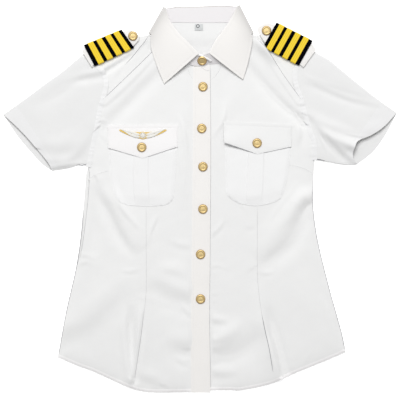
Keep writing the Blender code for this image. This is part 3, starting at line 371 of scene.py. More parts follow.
def smooth_path(points, count):
    """Rows at equal steps along a smooth curve through the given rows, ends kept."""
    rows = np.array(points, float)
    padded = np.vstack([2 * rows[0] - rows[1], rows, 2 * rows[-1] - rows[-2]])
    dense = [rows[0]]
    for a, b, c, d in zip(padded, padded[1:], padded[2:], padded[3:]):
        for t in np.linspace(0, 1, CURVE_STEPS + 1)[1:]:
            dense.append(0.5 * (2 * b + (c - a) * t + (2 * a - 5 * b + 4 * c - d) * t ** 2
                                + (3 * b - a - 3 * c + d) * t ** 3))
    dense = np.array(dense)
    run = run_along(dense)
    return at_lengths(np.linspace(0, run[-1], count + 1), run, dense)


def evenly(path):
    """A smooth path in steps of about 1 mm, and its length."""
    length = run_along(smooth_path(path, 40))[-1]
    return smooth_path(path, max(int(length), 8)), length


def moved(path, right, up=0.0):
    """The points of a path, moved in plan."""
    return [(x + right, y + up) for x, y in path]


def chain(*parts):
    """One row of points from several (path, count) parts that meet end to end."""
    rows = [smooth_path(path, count) for path, count in parts]
    return np.vstack([rows[0]] + [row[1:] for row in rows[1:]])


def shifted(row, distance):
    """A row of points moved sideways, to the left of its direction."""
    along = np.gradient(row, axis=0)
    along /= np.linalg.norm(along, axis=1)[:, None]
    return row + distance * np.column_stack([-along[:, 1], along[:, 0]])


def patch(bottom, top, left, right):
    """Grid of points between four rows that share their corners (bottom to top, left to right)."""
    u = np.linspace(0, 1, len(bottom))[None, :, None]
    v = np.linspace(0, 1, len(left))[:, None, None]
    sides = (1 - u) * left[:, None] + u * right[:, None]
    spans = (1 - v) * bottom[None] + v * top[None]
    corners = ((1 - u) * (1 - v) * bottom[0] + u * (1 - v) * bottom[-1]
               + (1 - u) * v * top[0] + u * v * top[-1])
    return sides + spans - corners


def nearest(path, x, y):
    """Distance of each point to a path, whether it is to its left, and how far along (0 to 1)."""
    best = np.full(x.shape, np.inf)
    left = np.zeros(x.shape, bool)
    along = np.zeros(x.shape)
    steps = len(path) - 1
    for k in range(steps):
        (ax, ay), (bx, by) = path[k, :2], path[k + 1, :2]
        dx, dy = bx - ax, by - ay
        t = np.clip(((x - ax) * dx + (y - ay) * dy) / (dx * dx + dy * dy), 0, 1)
        away = np.hypot(x - ax - t * dx, y - ay - t * dy)
        closer = away < best
        best = np.where(closer, away, best)
        left = np.where(closer, dx * (y - ay) - dy * (x - ax) > 0, left)
        along = np.where(closer, (k + t) / steps, along)
    return best, left, along


def near_to(path, reach, x, y):
    """Which points lie in the box round a path, widened by a reach."""
    return ((x > path[:, 0].min() - reach) & (x < path[:, 0].max() + reach)
            & (y > path[:, 1].min() - reach) & (y < path[:, 1].max() + reach))


def ramp(value, low, high):
    """Smooth step from 0 at low to 1 at high."""
    t = np.clip((value - low) / (high - low), 0, 1)
    return t * t * (3 - 2 * t)


# ---------------------------------------------------------------- height of the layers

SEWN_EDGES = [smooth_path(path, 30) for path in (SIDE_L, SIDE_R, HEM_L, HEM_R)]
SHOULDER_EDGES = [smooth_path(path, 12) for path in (SHOULDER_L, SHOULDER_R)]
SLEEVE_EDGES = [smooth_path(path, 12)
                for path in (SLEEVE_TOP_L, SLEEVE_TOP_R, SLEEVE_UNDER_L, SLEEVE_UNDER_R)]
YOKE_LINES = [smooth_path(path, 12) for path in (YOKE_LINE_L, YOKE_LINE_R)]
FOLD_PATHS = [(fold, smooth_path(fold.path, 12)) for fold in FOLDS]


def edge_distance(edges, x, y):
    """Distance of each point to the nearest of several edges."""
    return np.min([nearest(edge, x, y)[0] for edge in edges], axis=0)


def collar_lift(x, y):
    """Rise of the neck's back, which lies on the collar."""
    return COLLAR_LIFT * ramp(y, *COLLAR_ENDS) * (1 - ramp(np.abs(x), *COLLAR_SIDES))


def creased(x, y):
    """Sum of the folds at each point."""
    total = np.zeros(x.shape)
    for fold, path in FOLD_PATHS:
        away, left, along = nearest(path, x, y)
        height = np.interp(along, np.linspace(0, 1, len(path)), path[:, 2])
        total += height * np.exp(-(away / np.where(left, fold.left, fold.right)) ** 2)
    return total


def kept_above(height, floor):
    """Height held softly above a floor."""
    over = height - floor
    return floor + (over + np.sqrt(over ** 2 + SOFT_FLOOR ** 2)) / 2


def front_height(x, y):
    """Underside of the fronts."""
    height = LOFT - (LOFT - SEAM_LOFT) * np.exp(-edge_distance(SEWN_EDGES, x, y) / SEAM_REACH)
    on_yoke = 1 - ramp(edge_distance(YOKE_LINES, x, y), TUCK_FLAT, TUCK_REACH)
    floor = SEAM_LOFT + (yoke_top(x, y) + CURVE_GAP - SEAM_LOFT) * on_yoke
    return kept_above(height + collar_lift(x, y) + creased(x, y), floor)


def free_of_placket(x):
    """0 where the right front lies under the placket, 1 where it has risen beside it."""
    start = PLACKET_RIGHT + PLACKET_PRESSED
    return ramp(x, start, start + PLACKET_EASE)


def front_height_under(x, y):
    """Underside of the front that goes on under the placket."""
    return SEAM_LOFT + (front_height(x, y) - SEAM_LOFT) * free_of_placket(x)


def front_height_over(x, y):
    """Underside of the front that the placket is sewn to."""
    free = ramp(-x, -PLACKET_L[-1][0], PLACKET_EASE - PLACKET_L[-1][0])
    return PLACKET_BASE + (front_height(x, y) - PLACKET_BASE) * free


def front_top(x, y):
    """Top of the fronts, without what the dressed cloth adds."""
    return front_height(x, y) + CLOTH


def level(height):
    """A rule of height that is the same everywhere."""
    return lambda x, y: np.full(x.shape, float(height))


def yoke_top(x, y):
    """Top of the yoke's shoulder parts."""
    height = YOKE_LOFT - (YOKE_LOFT - FOLD_LOFT) * np.exp(
        -edge_distance(SHOULDER_EDGES, x, y) / FOLD_REACH)
    return height + collar_lift(x, y) + CLOTH


def sleeve_top(x, y):
    """Top of the sleeves' upper layer."""
    height = LOFT - (LOFT - FOLD_LOFT) * np.exp(-edge_distance(SLEEVE_EDGES, x, y) / FOLD_REACH)
    return kept_above(height + creased(x, y), FOLD_LOFT - 0.2) + CLOTH


# ---------------------------------------------------------------- creases, puckers and rumple

CUFF_EDGES = [smooth_path(path, 16) for path in (CUFF_FRONT_L, CUFF_FRONT_R[:5])]
CUFF_DROP = 0.9        # how much lower the dressed cuffs lie than in the model
CUFF_DROP_REACH = 14.0        # distance over which they come down
SLEEVE_LOWEST = CLOTH + 1.0   # lowest top of a sleeve
CREASE_REACH = 3.2            # reach of a narrow crease, in half widths
CREASE_PATHS = [(crease, smooth_path(crease.path, 16)) for crease in CREASES]
YOKE_CREASE_PATHS = [(crease, smooth_path(crease.path, 10)) for crease in YOKE_CREASES]
PUCKERED = [smooth_path(path, 40) for path in (HEM_L, HEM_R, ARMHOLE_LOW_L, ARMHOLE_LOW_R,
                                               ARMHOLE_HIGH_L, ARMHOLE_HIGH_R)]
LOWEST_FRONT = 2.6            # the fronts' cloth stays over the back's
LIT_SIDE = (-0.42, 0.90)      # direction that the lit flank of a crease faces in plan


def narrow_creases(paths, x, y):
    """Sum of the narrow creases: each rises across its path on the lit side, then dies away."""
    total = np.zeros(x.shape)
    for crease, path in paths:
        near = near_to(path, CREASE_REACH * crease.width, x, y)
        if not near.any():
            continue
        away, left, along = nearest(path, x[near], y[near])
        steep = np.interp(along, np.linspace(0, 1, len(path)), path[:, 2])
        chord = path[-1, :2] - path[0, :2]
        up = 1 if -chord[1] * LIT_SIDE[0] + chord[0] * LIT_SIDE[1] > 0 else -1
        t = np.where(left, away, -away) * up / crease.width
        total[near] += steep * crease.width * (t + crease.lean) * np.exp(-t * t)
    return total * look().crease_depth


WAVES = np.random.default_rng(11).uniform(0, 1, (16, 4))


def rumple(x, y):
    """Faint unevenness of ironed cloth: waves of many directions and lengths."""
    total = np.zeros(x.shape)
    for turn, length, phase, weight in WAVES:
        angle, wave = turn * math.pi, 16 + 60 * length ** 2
        along = x * math.cos(angle) + y * math.sin(angle)
        across = y * math.cos(angle) - x * math.sin(angle)
        total += (0.4 + weight) * wave / 60 * np.sin(math.tau * (along / wave + phase)
                                                     + 1.3 * np.sin(across / wave + 9 * phase))
    return total * look().rumple


def puckers(x, y):
    """Small ripples beside the hem and the armholes, uneven in size and spacing."""
    total = np.zeros(x.shape)
    for path in PUCKERED:
        near = near_to(path, 3 * PUCKER_REACH, x, y)
        if not near.any():
            continue
        away, _, along = nearest(path, x[near], y[near])
        run = along * run_along(path)[-1] / PUCKER_PITCH
        wave = np.sin(math.tau * run + 1.7 * np.sin(run * 1.9)) * (0.55 + 0.45 * np.sin(run * 0.83))
        total[near] += PUCKER_HIGH * wave * np.exp(-(away / PUCKER_REACH) ** 2)
    return total


def fine(x, y):
    """All that the dressed cloth adds to the form of the fronts and sleeves."""
    return narrow_creases(CREASE_PATHS, x, y) + rumple(x, y) + puckers(x, y)


def left_front(x, y):
    """Top of the front on the viewer's left, flat under the placket's edge."""
    edge = np.interp(y, [row[1] for row in PLACKET_L], [row[0] for row in PLACKET_L])
    covered = ramp(x - edge, -UNDERLAP, -0.5)
    height = front_height_over(x, y) + CLOTH - EDGE_PRESS * covered + fine(x, y) * (1 - covered)
    return np.maximum(height, LOWEST_FRONT)


def right_front(x, y):
    """Top of the front on the viewer's right, flat where it goes under the placket."""
    covered = 1 - ramp(x, PLACKET_RIGHT + 1, PLACKET_RIGHT + 5)
    easing = UNDER_RISE * (1 - free_of_placket(x))
    height = front_height_under(x, y) + CLOTH + easing + fine(x, y) * (1 - covered)
    return np.maximum(height, LOWEST_FRONT)


def fronts(x, y):
    """Top of either front, parted at the middle of the placket."""
    return np.where(x < 2, left_front(x, y), right_front(x, y))


def sleeve_cloth(x, y):
    """Top of a sleeve, which comes down towards its cuff."""
    drop = CUFF_DROP * np.exp(-edge_distance(CUFF_EDGES, x, y) / CUFF_DROP_REACH)
    return np.maximum(sleeve_top(x, y) + fine(x, y) - drop, SLEEVE_LOWEST)


def yoke_cloth(x, y):
    """Top of the yoke's shoulder parts, with their creases."""
    return yoke_top(x, y) + narrow_creases(YOKE_CREASE_PATHS, x, y) + rumple(x, y)


def flap_cloth(x, y, top_row):
    """Top of a pocket flap, which rises slowly from its sewn edge and is pressed at its sides."""
    below = np.interp(x, top_row[:, 0], top_row[:, 1]) - y
    side = np.minimum(x - top_row[:, 0].min(), top_row[:, 0].max() - x)
    lift_x, lift_y, lift, reach = FLAP_LIFT
    lifted = lift * np.exp(-((x - lift_x) ** 2 + (y - lift_y) ** 2) / reach ** 2)
    press = FLAP_SIDE_PRESS * (1 - ramp(side, 0, FLAP_SIDE)) * ramp(below, *FLAP_PRESS_ENDS)
    raised = FLAP_SEWN + FLAP_CROWN * ramp(below, 0, FLAP_CROWN_REACH) + lifted - press
    return front_top(x, y) + raised + FLAP_RUMPLE * rumple(x, y)


# ---------------------------------------------------------------- making cloth

class Made:
    """What pieces share while the shirt is being made: finishes and lines of stitches."""
    finishes = {}
    stitches = []


def look():
    return bpy.context.scene.pilot_shirt_sizes


def deselect():
    if bpy.context.object and bpy.context.object.mode != "OBJECT":
        bpy.ops.object.mode_set(mode="OBJECT")
    bpy.ops.object.select_all(action="DESELECT")


def edit(piece):
    """Enters edit mode with everything selected."""
    bpy.context.view_layer.objects.active = piece
    piece.select_set(True)
    bpy.ops.object.mode_set(mode="EDIT")
    bpy.ops.mesh.select_all(action="SELECT")


def leave_edit():
    bpy.ops.object.mode_set(mode="OBJECT")


def woven_grid(points):
    """A grid of cloth through rows of points, its UV map in metres across and along."""
    rows, columns = points.shape[:2]
    deselect()
    bpy.ops.mesh.primitive_grid_add(x_subdivisions=columns - 1, y_subdivisions=rows - 1, size=1)
    piece = bpy.context.object
    piece.data.vertices.foreach_set("co", (points * MM).astype(np.float32).ravel())
    across = np.linalg.norm(np.diff(points, axis=1), axis=2).mean(axis=0)
    along = np.linalg.norm(np.diff(points, axis=0), axis=2).mean(axis=1)
    u, v = np.concatenate([[0], np.cumsum(across)]), np.concatenate([[0], np.cumsum(along)])
    index = np.zeros(len(piece.data.loops), np.int32)
    piece.data.loops.foreach_get("vertex_index", index)
    uv = np.column_stack([u[index % columns], v[index // columns]]) * MM
    piece.data.uv_layers[0].data.foreach_set("uv", uv.astype(np.float32).ravel())
    piece.data.update()
    return piece


def face_out():
    """Turns all faces of the mesh being edited outwards."""
    bpy.ops.mesh.select_all(action="SELECT")
    bpy.ops.mesh.normals_make_consistent(inside=False)


def extrude(distance):
    """Draws the selected faces of the mesh being edited upwards."""
    bpy.ops.mesh.extrude_region_move(TRANSFORM_OT_translate={"value": (0, 0, distance * MM)})


def apply_transform():
    bpy.ops.object.transform_apply(location=True, rotation=True, scale=True)


def pick(piece):
    """Makes a piece the only selected one."""
    deselect()
    piece.select_set(True)
    bpy.context.view_layer.objects.active = piece


def coordinates(piece):
    """Points of a mesh in millimetres."""
    co = np.zeros(len(piece.data.vertices) * 3)
    piece.data.vertices.foreach_get("co", co)
    return co.reshape(-1, 3) / MM


def taken_apart(piece):
    """Points and faces of a small shape, which is removed."""
    apply_transform()
    co = np.array([v.co for v in piece.data.vertices], float)
    faces = [tuple(face.vertices) for face in piece.data.polygons]
    bpy.data.objects.remove(piece, do_unlink=True)
    return co, faces


def weld(piece):
    """Joins the points that meet and turns all faces to one side."""
    edit(piece)
    bpy.ops.mesh.remove_doubles(threshold=0.01 * MM)
    face_out()
    leave_edit()


def walled(piece, wall):
    """Gives a sheet its thickness, on its lower side."""
    thick = piece.modifiers.new("wall", "SOLIDIFY")
    thick.thickness, thick.offset = wall * MM, -1
    bpy.context.view_layer.objects.active = piece
    bpy.ops.object.modifier_apply(modifier=thick.name)


def face_up(piece):
    """Turns the sheet so that its highest face points up."""
    highest = max(piece.data.polygons, key=lambda face: face.center.z)
    if highest.normal.z < 0:
        edit(piece)
        bpy.ops.mesh.flip_normals()
        leave_edit()


def joined(grids):
    """One piece from several."""
    deselect()
    for grid in grids:
        grid.select_set(True)
    bpy.context.view_layer.objects.active = grids[0]
    if len(grids) > 1:
        bpy.ops.object.join()
    return bpy.context.object


def cloth(name, *grids, finish="poplin", wall=None, tube=False):
    """A piece of cloth from grids of points on its upper side: welded, faced up, given its wall."""
    piece = joined([woven_grid(np.asarray(points, float)) for points in grids])
    if tube or len(grids) > 1:
        weld(piece)
    face_up(piece)
    walled(piece, wall or look().cloth_wall / MM)
    return dress(piece, name, finish)


def dress(piece, name, finish, sharp=50):
    """Names a finished mesh, smooths it and gives it its finish."""
    piece.name = piece.data.name = name
    pick(piece)
    bpy.ops.object.shade_smooth_by_angle(angle=math.radians(sharp))
    piece.data.materials.clear()
    piece.data.materials.append(Made.finishes[finish])
    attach(piece, "root")
    return piece


def top_lay(plan, height):
    """A grid of plan points laid at the height that a rule gives."""
    return np.dstack([plan, height(plan[..., 0], plan[..., 1])])


def reach(points, side):
    """Distance of each point of a grid from one of its four edges, measured along the grid."""
    axis = 0 if side in ("first", "last") else 1
    turned = points[::-1] if side == "last" else points[:, ::-1] if side == "end" else points
    steps = np.linalg.norm(np.diff(turned, axis=axis), axis=2)
    far = np.cumsum(np.insert(steps, 0, 0, axis=axis), axis=axis)
    return far[::-1] if side == "last" else far[:, ::-1] if side == "end" else far


GROOVE_WIDTH = 0.9


def topstitched(points, **margins):
    """Presses a groove into a grid of points beside its edges and keeps the line for the thread.

    margins gives the distance from the edges named first, last, start and end.
    """
    points = points.copy()
    far = {side: reach(points, side) for side in margins}
    inside = np.min([far[side] - margin for side, margin in margins.items()], axis=0)
    points[..., 2] -= look().groove / MM * np.exp(-(inside / GROOVE_WIDTH) ** 2)
    for side, margin in margins.items():
        axis = 0 if side in ("first", "last") else 1
        line = []
        for k in range(points.shape[1 - axis]):
            away = far[side].take(k, axis=1 - axis)
            here = points.take(k, axis=1 - axis)
            order = np.argsort(away)
            spot = [np.interp(margin, away[order], here[order, c]) for c in range(3)]
            others = [np.interp(margin, away[order], far[s].take(k, axis=1 - axis)[order]) - m
                      for s, m in margins.items() if s != side]
            line.append(spot if min(others, default=0) > -0.2 else [np.nan] * 3)
        line = np.array(line)
        Made.stitches.append(line[~np.isnan(line[:, 0])])
    return points


# ---------------------------------------------------------------- body panels

def back_points():
    """Grid of the back, from the hem to the yoke's seam."""
    left = chain((SIDE_L, 70), (ARMHOLE_BACK_L[::-1], 26))
    right = chain((SIDE_R, 70), (ARMHOLE_BACK_R[::-1], 26))
    left[-1] -= (0, GAP)
    right[-1] -= (0, GAP)
    hem = chain((HEM_L[:-1] + [HEM_R[0]], 40), (HEM_R, 40))
    plan = patch(hem, np.linspace(left[-1], right[-1], 81), left, right)
    return top_lay(plan, level(CLOTH))


def left_front_points():
    """Grid of the front on the viewer's left, whose edge goes on under the placket."""
    top = chain((YOKE_LINE_L, 60), (NECK_L, 34))
    hem = smooth_path(HEM_L, 94)
    left = chain((SIDE_FRONT_L, 150), (ARMHOLE_LOW_L, 60))
    right = smooth_path(PLACKET_L, 210) + (UNDERLAP, 0)
    right[0], right[-1] = hem[-1] + (UNDERLAP, 0), top[-1] + (UNDERLAP, 0)
    hem[-1], top[-1] = right[0], right[-1]
    return top_lay(patch(hem, top, left, right), left_front)


def right_front_points():
    """Grid of the front on the viewer's right."""
    hem = smooth_path(HEM_R, 102)
    top = chain((NECK_R, 46), (YOKE_LINE_R[::-1], 56))
    right = chain((SIDE_R, 150), (ARMHOLE_LOW_R, 60))
    return top_lay(patch(hem, top, np.linspace(hem[0], top[0], 211), right), right_front)


def placket_height(x, y):
    """Top of the placket, which keeps half of the cloth's unevenness."""
    return PLACKET_TOP + 0.5 * rumple(x, y)


def placket_points():
    """Grid of the placket, with its two rows of stitches."""
    left, right = smooth_path(PLACKET_L, 330), smooth_path(PLACKET_R, 330)
    plan = patch(np.linspace(left[0], right[0], 25), np.linspace(left[-1], right[-1], 25),
                 left, right)
    return topstitched(top_lay(plan, placket_height), start=PLACKET_THREAD, end=PLACKET_THREAD)


def turned_edge(start, end, outward, low, high, steps):
    """Rows of a half-round bend from a top row to a bottom row, without those two rows."""
    rows = []
    for k in range(1, steps):
        angle = math.pi * k / steps
        share = (1 - math.cos(angle)) / 2
        plan = start * (1 - share) + end * share + outward * BEND * math.sin(angle)
        rows.append(np.column_stack([plan, low + (high - low) * (1 - share)]))
    return rows


SHOULDER_STEPS, NECK_STEPS = 48, 24    # steps of the yoke's grids along its edges
YOKE_TURN = 7                          # steps of its bend at the shoulder


def yoke_half(shoulder, seam, neck_front, arm_front, neck_back, arm_back, outward_sign):
    """Two grids of one half of the yoke: the shoulder part with its bend, and the back part."""
    edge = smooth_path(shoulder, SHOULDER_STEPS)
    outward = shifted(edge, outward_sign) - edge
    inner = edge - outward * BEND
    seam_row, neck_side, arm_side = (smooth_path(path, n) for path, n in
                                     ((seam, SHOULDER_STEPS), (neck_front, 30), (arm_front, 30)))
    neck_side[-1], arm_side[0], arm_side[-1] = inner[0], seam_row[-1], inner[-1]
    centre = np.linspace((0, YOKE_BACK_Y), neck_back[-1], 31)
    back_side = smooth_path(arm_back[::-1], 30)
    neck_row = smooth_path(neck_back[::-1], NECK_STEPS)
    neck_row[-1], back_side[-1] = inner[0], inner[-1]
    seam_back = np.linspace(centre[0], back_side[0], NECK_STEPS + SHOULDER_STEPS + 1)
    upper = top_lay(patch(seam_row, inner, neck_side, arm_side), yoke_cloth)
    back_row = np.vstack([neck_row[:-1], inner])
    lower = top_lay(patch(seam_back, back_row, centre, back_side), collar_lift)
    last = lower[-1:, NECK_STEPS:]
    turn = turned_edge(inner, inner, outward, last[0, :, 2], upper[-1, :, 2], YOKE_TURN)
    return np.vstack([upper, np.array(turn), last]), lower


def yoke_grids():
    """Grids of both halves of the yoke."""
    left = yoke_half(SHOULDER_L, YOKE_SEAM_L, [YOKE_SEAM_L[0], (-75, 273), NECK_POINT_L],
                     ARMHOLE_HIGH_L, NECK_BACK[:4], ARMHOLE_YOKE_L, -1)
    right = yoke_half(SHOULDER_R, YOKE_SEAM_R, [YOKE_SEAM_R[0], (79, 273), NECK_POINT_R],
                      ARMHOLE_HIGH_R, NECK_BACK[:2:-1], ARMHOLE_YOKE_R, 1)
    return left + right


# ---------------------------------------------------------------- sleeves

SLEEVE_ACROSS = 64     # steps of the sleeve's grid from its top edge to its lower edge
SLEEVE_TURN = 7        # steps of its bend at each edge
CUFF_STEPS = 24        # steps across the hem turned in at the cuff
CUFF_RISE = 0.14       # rise of that hem's print over the sleeve
CUFF_SHORTEST = 4.0    # its least width
CUFF_SEAMS = [((-311, 157), (-247, 62)), ((306, 161), (257, 90))]     # its seam on each sleeve


def flat_tube(a, b, out_a, out_b, bottom, top, steps):
    """Rings of a flattened tube: bottom from edge a to edge b, round, top back to a, and round."""
    turn_b = np.array(turned_edge(b, b, out_b, bottom[:, -1, 2], top[:, -1, 2], steps))[::-1]
    turn_a = np.array(turned_edge(a, a, out_a, bottom[:, 0, 2], top[:, 0, 2], steps))
    rings = [np.vstack([bottom[i], turn_b[:, i], top[i, ::-1], turn_a[:, i], bottom[i, :1]])
             for i in range(len(a))]
    return np.array(rings)


def sleeve_points(top_line, under_line, arm_yoke, arm_back, high, low, cuff_back, cuff_front, sign):
    """Rings of a flattened sleeve from the armhole to the cuff."""
    rings = 80
    arm_back = chain((arm_yoke, 36), (arm_back, 28))
    arm_front = chain((high[::-1], 26), (low[::-1], 38))
    top_line = [(top_line[0][0] + sign, top_line[0][1] - 1)] + top_line[1:]
    under_line = [(under_line[0][0] + sign, under_line[0][1])] + under_line[1:]
    top_edge, under_edge = smooth_path(top_line, rings), smooth_path(under_line, rings)
    out_top = shifted(top_edge, sign) - top_edge
    out_under = shifted(under_edge, -sign) - under_edge
    a, b = top_edge - out_top * BEND, under_edge - out_under * BEND

    def between(armhole, cuff):
        first, last = shifted(armhole, sign * CURVE_GAP), smooth_path(cuff, SLEEVE_ACROSS)
        first[0], first[-1], last[0], last[-1] = a[0], b[0], a[-1], b[-1]
        return patch(first, last, a, b)

    bottom = top_lay(between(arm_back, cuff_back), level(0))
    top = top_lay(between(arm_front, cuff_front), sleeve_cloth)
    return flat_tube(a, b, out_top, out_under, bottom, top, SLEEVE_TURN)


def cuff_band(rings):
    """The turned hem that shows through at the cuff, as a strip on top of the sleeve's rings."""
    first = SLEEVE_ACROSS + SLEEVE_TURN
    top = rings[:, first + 2:first + SLEEVE_ACROSS - 1]
    (x0, y0), (x1, y1) = CUFF_SEAMS[int(top[-1, 0, 0] > 0)]
    band = np.zeros((CUFF_STEPS + 1, top.shape[1], 3))
    for k in range(top.shape[1]):
        line = top[:, k]
        run = run_along(line)
        side = (line[:, 0] - x0) * (y1 - y0) - (line[:, 1] - y0) * (x1 - x0)
        side *= np.sign(side[-1])
        start = np.interp(0, side[len(side) // 3:], run[len(side) // 3:])
        spots = np.linspace(min(start, run[-1] - CUFF_SHORTEST), run[-1], CUFF_STEPS + 1)
        band[:, k] = at_lengths(spots, run, line)
    band[..., 2] += CUFF_RISE
    Made.stitches.append(band[0] - (0, 0, 0.05))
    return upwards(band)


SLEEVE_SPECS = {
    "sleeve_right": (SLEEVE_TOP_L, SLEEVE_UNDER_L, ARMHOLE_YOKE_L, ARMHOLE_BACK_L, ARMHOLE_HIGH_L,
                     ARMHOLE_LOW_L, CUFF_BACK_L, CUFF_FRONT_L, -1),
    "sleeve_left": (SLEEVE_TOP_R, SLEEVE_UNDER_R, ARMHOLE_YOKE_R, ARMHOLE_BACK_R, ARMHOLE_HIGH_R,
                    ARMHOLE_LOW_R, CUFF_BACK_R, CUFF_FRONT_R, 1),
}


# ---------------------------------------------------------------- collar and stand

BAND_STEPS = 300       # steps along the collar and its stand
CURL_ANGLES = (115, 85, 55, 27)        # rows of the collar's roll, in degrees


def side_bend(fold, sign, share, roll_heights, edge_heights, steps=8):
    """Rows of a band that folds over at the side of the neck, from its top layer to its bottom."""
    line = np.array(fold, float)
    outward = (shifted(line, sign) - line)[0]
    axis = line - outward * LEAF_TOP / 2
    far = axis[0] + (axis[1] - axis[0]) * share
    rows = []
    for angle in np.linspace(0, math.pi, steps + 1):
        row = []
        for point, (low, high) in ((axis[0], roll_heights), (far, edge_heights)):
            radius = (high - low) / 2
            plan = point + outward * radius * math.sin(angle)
            row += [*plan, low + radius + radius * math.cos(angle)]
        rows.append(row)
    return rows


def band_points(rows, across, crown=0.0, curl=0.0):
    """Grid of a folded band between its roll and its edge, with the roll turned over by a curl."""
    rows = np.column_stack([np.array(rows, float), np.broadcast_to(crown, len(rows))])
    dense = smooth_path(rows, BAND_STEPS)
    share = np.linspace(0, 1, across + 1)[None, :, None]
    points = dense[:, None, :3] * (1 - share) + dense[:, None, 3:6] * share
    points[..., 2] += dense[:, None, 6] * np.sin(math.pi * share[..., 0])
    if not curl:
        return points
    inward = dense[:, :3] - dense[:, 3:6]
    inward[:, 2] = 0
    inward /= np.linalg.norm(inward, axis=1)[:, None]
    turned = []
    for angle in np.radians(CURL_ANGLES):
        row = points[:, 0] + inward * curl * math.sin(angle)
        row[:, 2] -= curl * (1 - math.cos(angle)) * upward(points)
        turned.append(row)
    return np.concatenate([np.array(turned).transpose(1, 0, 2), points], axis=1)


def upward(points):
    """1 where a band's face points up, -1 where it has folded under, from each row."""
    across = points[:, -1] - points[:, 0]
    along = np.gradient(points[:, 0], axis=0)
    normal = np.cross(along, across)
    facing = normal[:, 2] / np.linalg.norm(normal, axis=1)
    return facing * np.sign(facing[0])


def collar_rows():
    """Rows of the collar from one front edge round the neck to the other, and each row's crown."""
    heights = (0, LEAF_TOP)
    left, right = list(smooth_path(LEAF_L, 8)), list(smooth_path(LEAF_R, 8))
    bend_l = side_bend(SIDE_FOLD_L, -1, 1.0, heights, heights)
    bend_r = side_bend(SIDE_FOLD_R, 1, 1.0, heights, heights)
    rows = left + bend_l + COLLAR_BACK + bend_r[::-1] + right[::-1]
    crown = np.zeros(len(rows))
    crown[:len(left)] = crown[-len(right):] = LEAF_CROWN
    return rows, crown


def stand_rows():
    """Rows of the stand from its buttoned tab round the neck to the end under the tab."""
    def seated(rows, base, count=0):
        points = smooth_path(rows, count) if count else np.array(rows, float)
        return [[*row, z] for row, z in zip(points, base(points[:, 3], points[:, 4]) + CLOTH)]

    def over(x, y):
        return front_height_over(x, y) + CLOTH

    def under(x, y):
        return front_height_under(x, y) + CLOTH

    roll_heights = (COLLAR_LIFT, LEAF_TOP - CLOTH - GAP)
    neck_heights = (COLLAR_LIFT + 0.5, LEAF_TOP - CLOTH - GAP)
    bend_l, bend_r = (side_bend(fold, sign, STAND_NECK_SHARE, roll_heights, neck_heights)
                      for fold, sign in ((SIDE_FOLD_L, -1), (SIDE_FOLD_R, 1)))
    back = [[*row, neck_heights[0]] for row in STAND_BACK]
    return (seated(STAND_TAB, level(PLACKET_TOP)) + seated(STAND_L, over, 6) + bend_l + back
            + bend_r[::-1] + seated(STAND_R, under, 7) + seated(STAND_UNDER, under))


# ---------------------------------------------------------------- pockets and flaps

def pocket_points(spec):
    """Grid of a patch pocket with a raised box pleat."""
    pleat_l, pleat_r = spec["pleat"]
    left, right = smooth_path(spec["left"], 88), smooth_path(spec["right"], 88)
    curve = smooth_path(spec["bottom"], 60)

    def columns(start, end):
        return np.concatenate([np.linspace(start, pleat_l - 0.5, PLEAT_COLUMNS),
                               np.linspace(pleat_l, pleat_r, PLEAT_STEPS),
                               np.linspace(pleat_r + 0.5, end, PLEAT_COLUMNS)])

    low, high = columns(left[0, 0], right[0, 0]), columns(left[-1, 0], right[-1, 0])
    bottom = np.column_stack([low, np.interp(low, curve[:, 0], curve[:, 1])])
    bottom[0], bottom[-1] = left[0], right[0]
    top = np.column_stack([high, np.full(len(high), left[-1, 1])])
    rows = top_lay(patch(bottom, top, left, right), pocket_cloth)
    borders = [reach(rows, side) for side in ("last", "start", "end")]
    border = np.min([reach(rows, "first") / LOWER_BORDER] + borders, axis=0)
    rows[..., 2] -= UNDER_FLAP * (1 - ramp(borders[0], *UNDER_FLAP_ENDS))
    held = ramp(border, 0, POCKET_HELD) * ramp(reach(rows, "last"), *UNDER_FLAP_ENDS)
    rows[..., 2] -= POCKET_PRESS * (1 - held)
    rows = topstitched(rows, first=POCKET_THREAD, start=POCKET_THREAD, end=POCKET_THREAD)
    pleat = slice(PLEAT_COLUMNS, PLEAT_COLUMNS + PLEAT_STEPS)
    rows[:, pleat, 2] += PLEAT_RISE * held[:, pleat]
    return rows


def pocket_cloth(x, y):
    """Top of a pocket, away from its borders."""
    return front_top(x, y) + fine(x, y) + GAP + POCKET_EASE + CLOTH


FLAP_STEPS = 48        # steps of a flap's grid on each side of its point


def flap_points(spec):
    """Grid of a pointed flap, and the row of its sewn top edge."""
    top = smooth_path(spec["top"], 2 * FLAP_STEPS)
    low = np.vstack([np.linspace(spec["left"], spec["point"], FLAP_STEPS + 1),
                     np.linspace(spec["point"], spec["right"], FLAP_STEPS + 1)[1:]])
    shares = np.linspace(0, 1, 46)[:, None]
    left = low[0] * (1 - shares) + top[0] * shares
    right = low[-1] * (1 - shares) + top[-1] * shares
    rows = top_lay(patch(low, top, left, right), lambda x, y: flap_cloth(x, y, top))
    return topstitched(rows, first=FLAP_THREAD, last=FLAP_TOP_THREAD, start=FLAP_THREAD,
                       end=FLAP_THREAD), top


# ---------------------------------------------------------------- seams, hems and darts

# Darts and seams that show as a fine line: path, and the height of the fold
DARTS = [
    ([(-92, -14), (-92, -80), (-92, -155), (-97, -206)], 0.3),
    ([(97, -14), (97, -112), (99, -155), (106, -205), (112, -235)], 0.3),
    ([(-190, 34), (-175, 43), (-156, 48)], 0.4),
    ([(150, 57.5), (160, 56.5), (173, 53), (187, 46), (193, 39)], 0.4),
]
# Lines of painted shade beside the darts in the skirt: path and width
SKIRT_LINES = [([(105, -196), (111, -226), (116.5, -250), (120.5, -272), (124, -294)], 0.85),
               ([(-96, -190), (-98, -215), (-102, -245), (-107, -278), (-111, -304)], 0.35)]
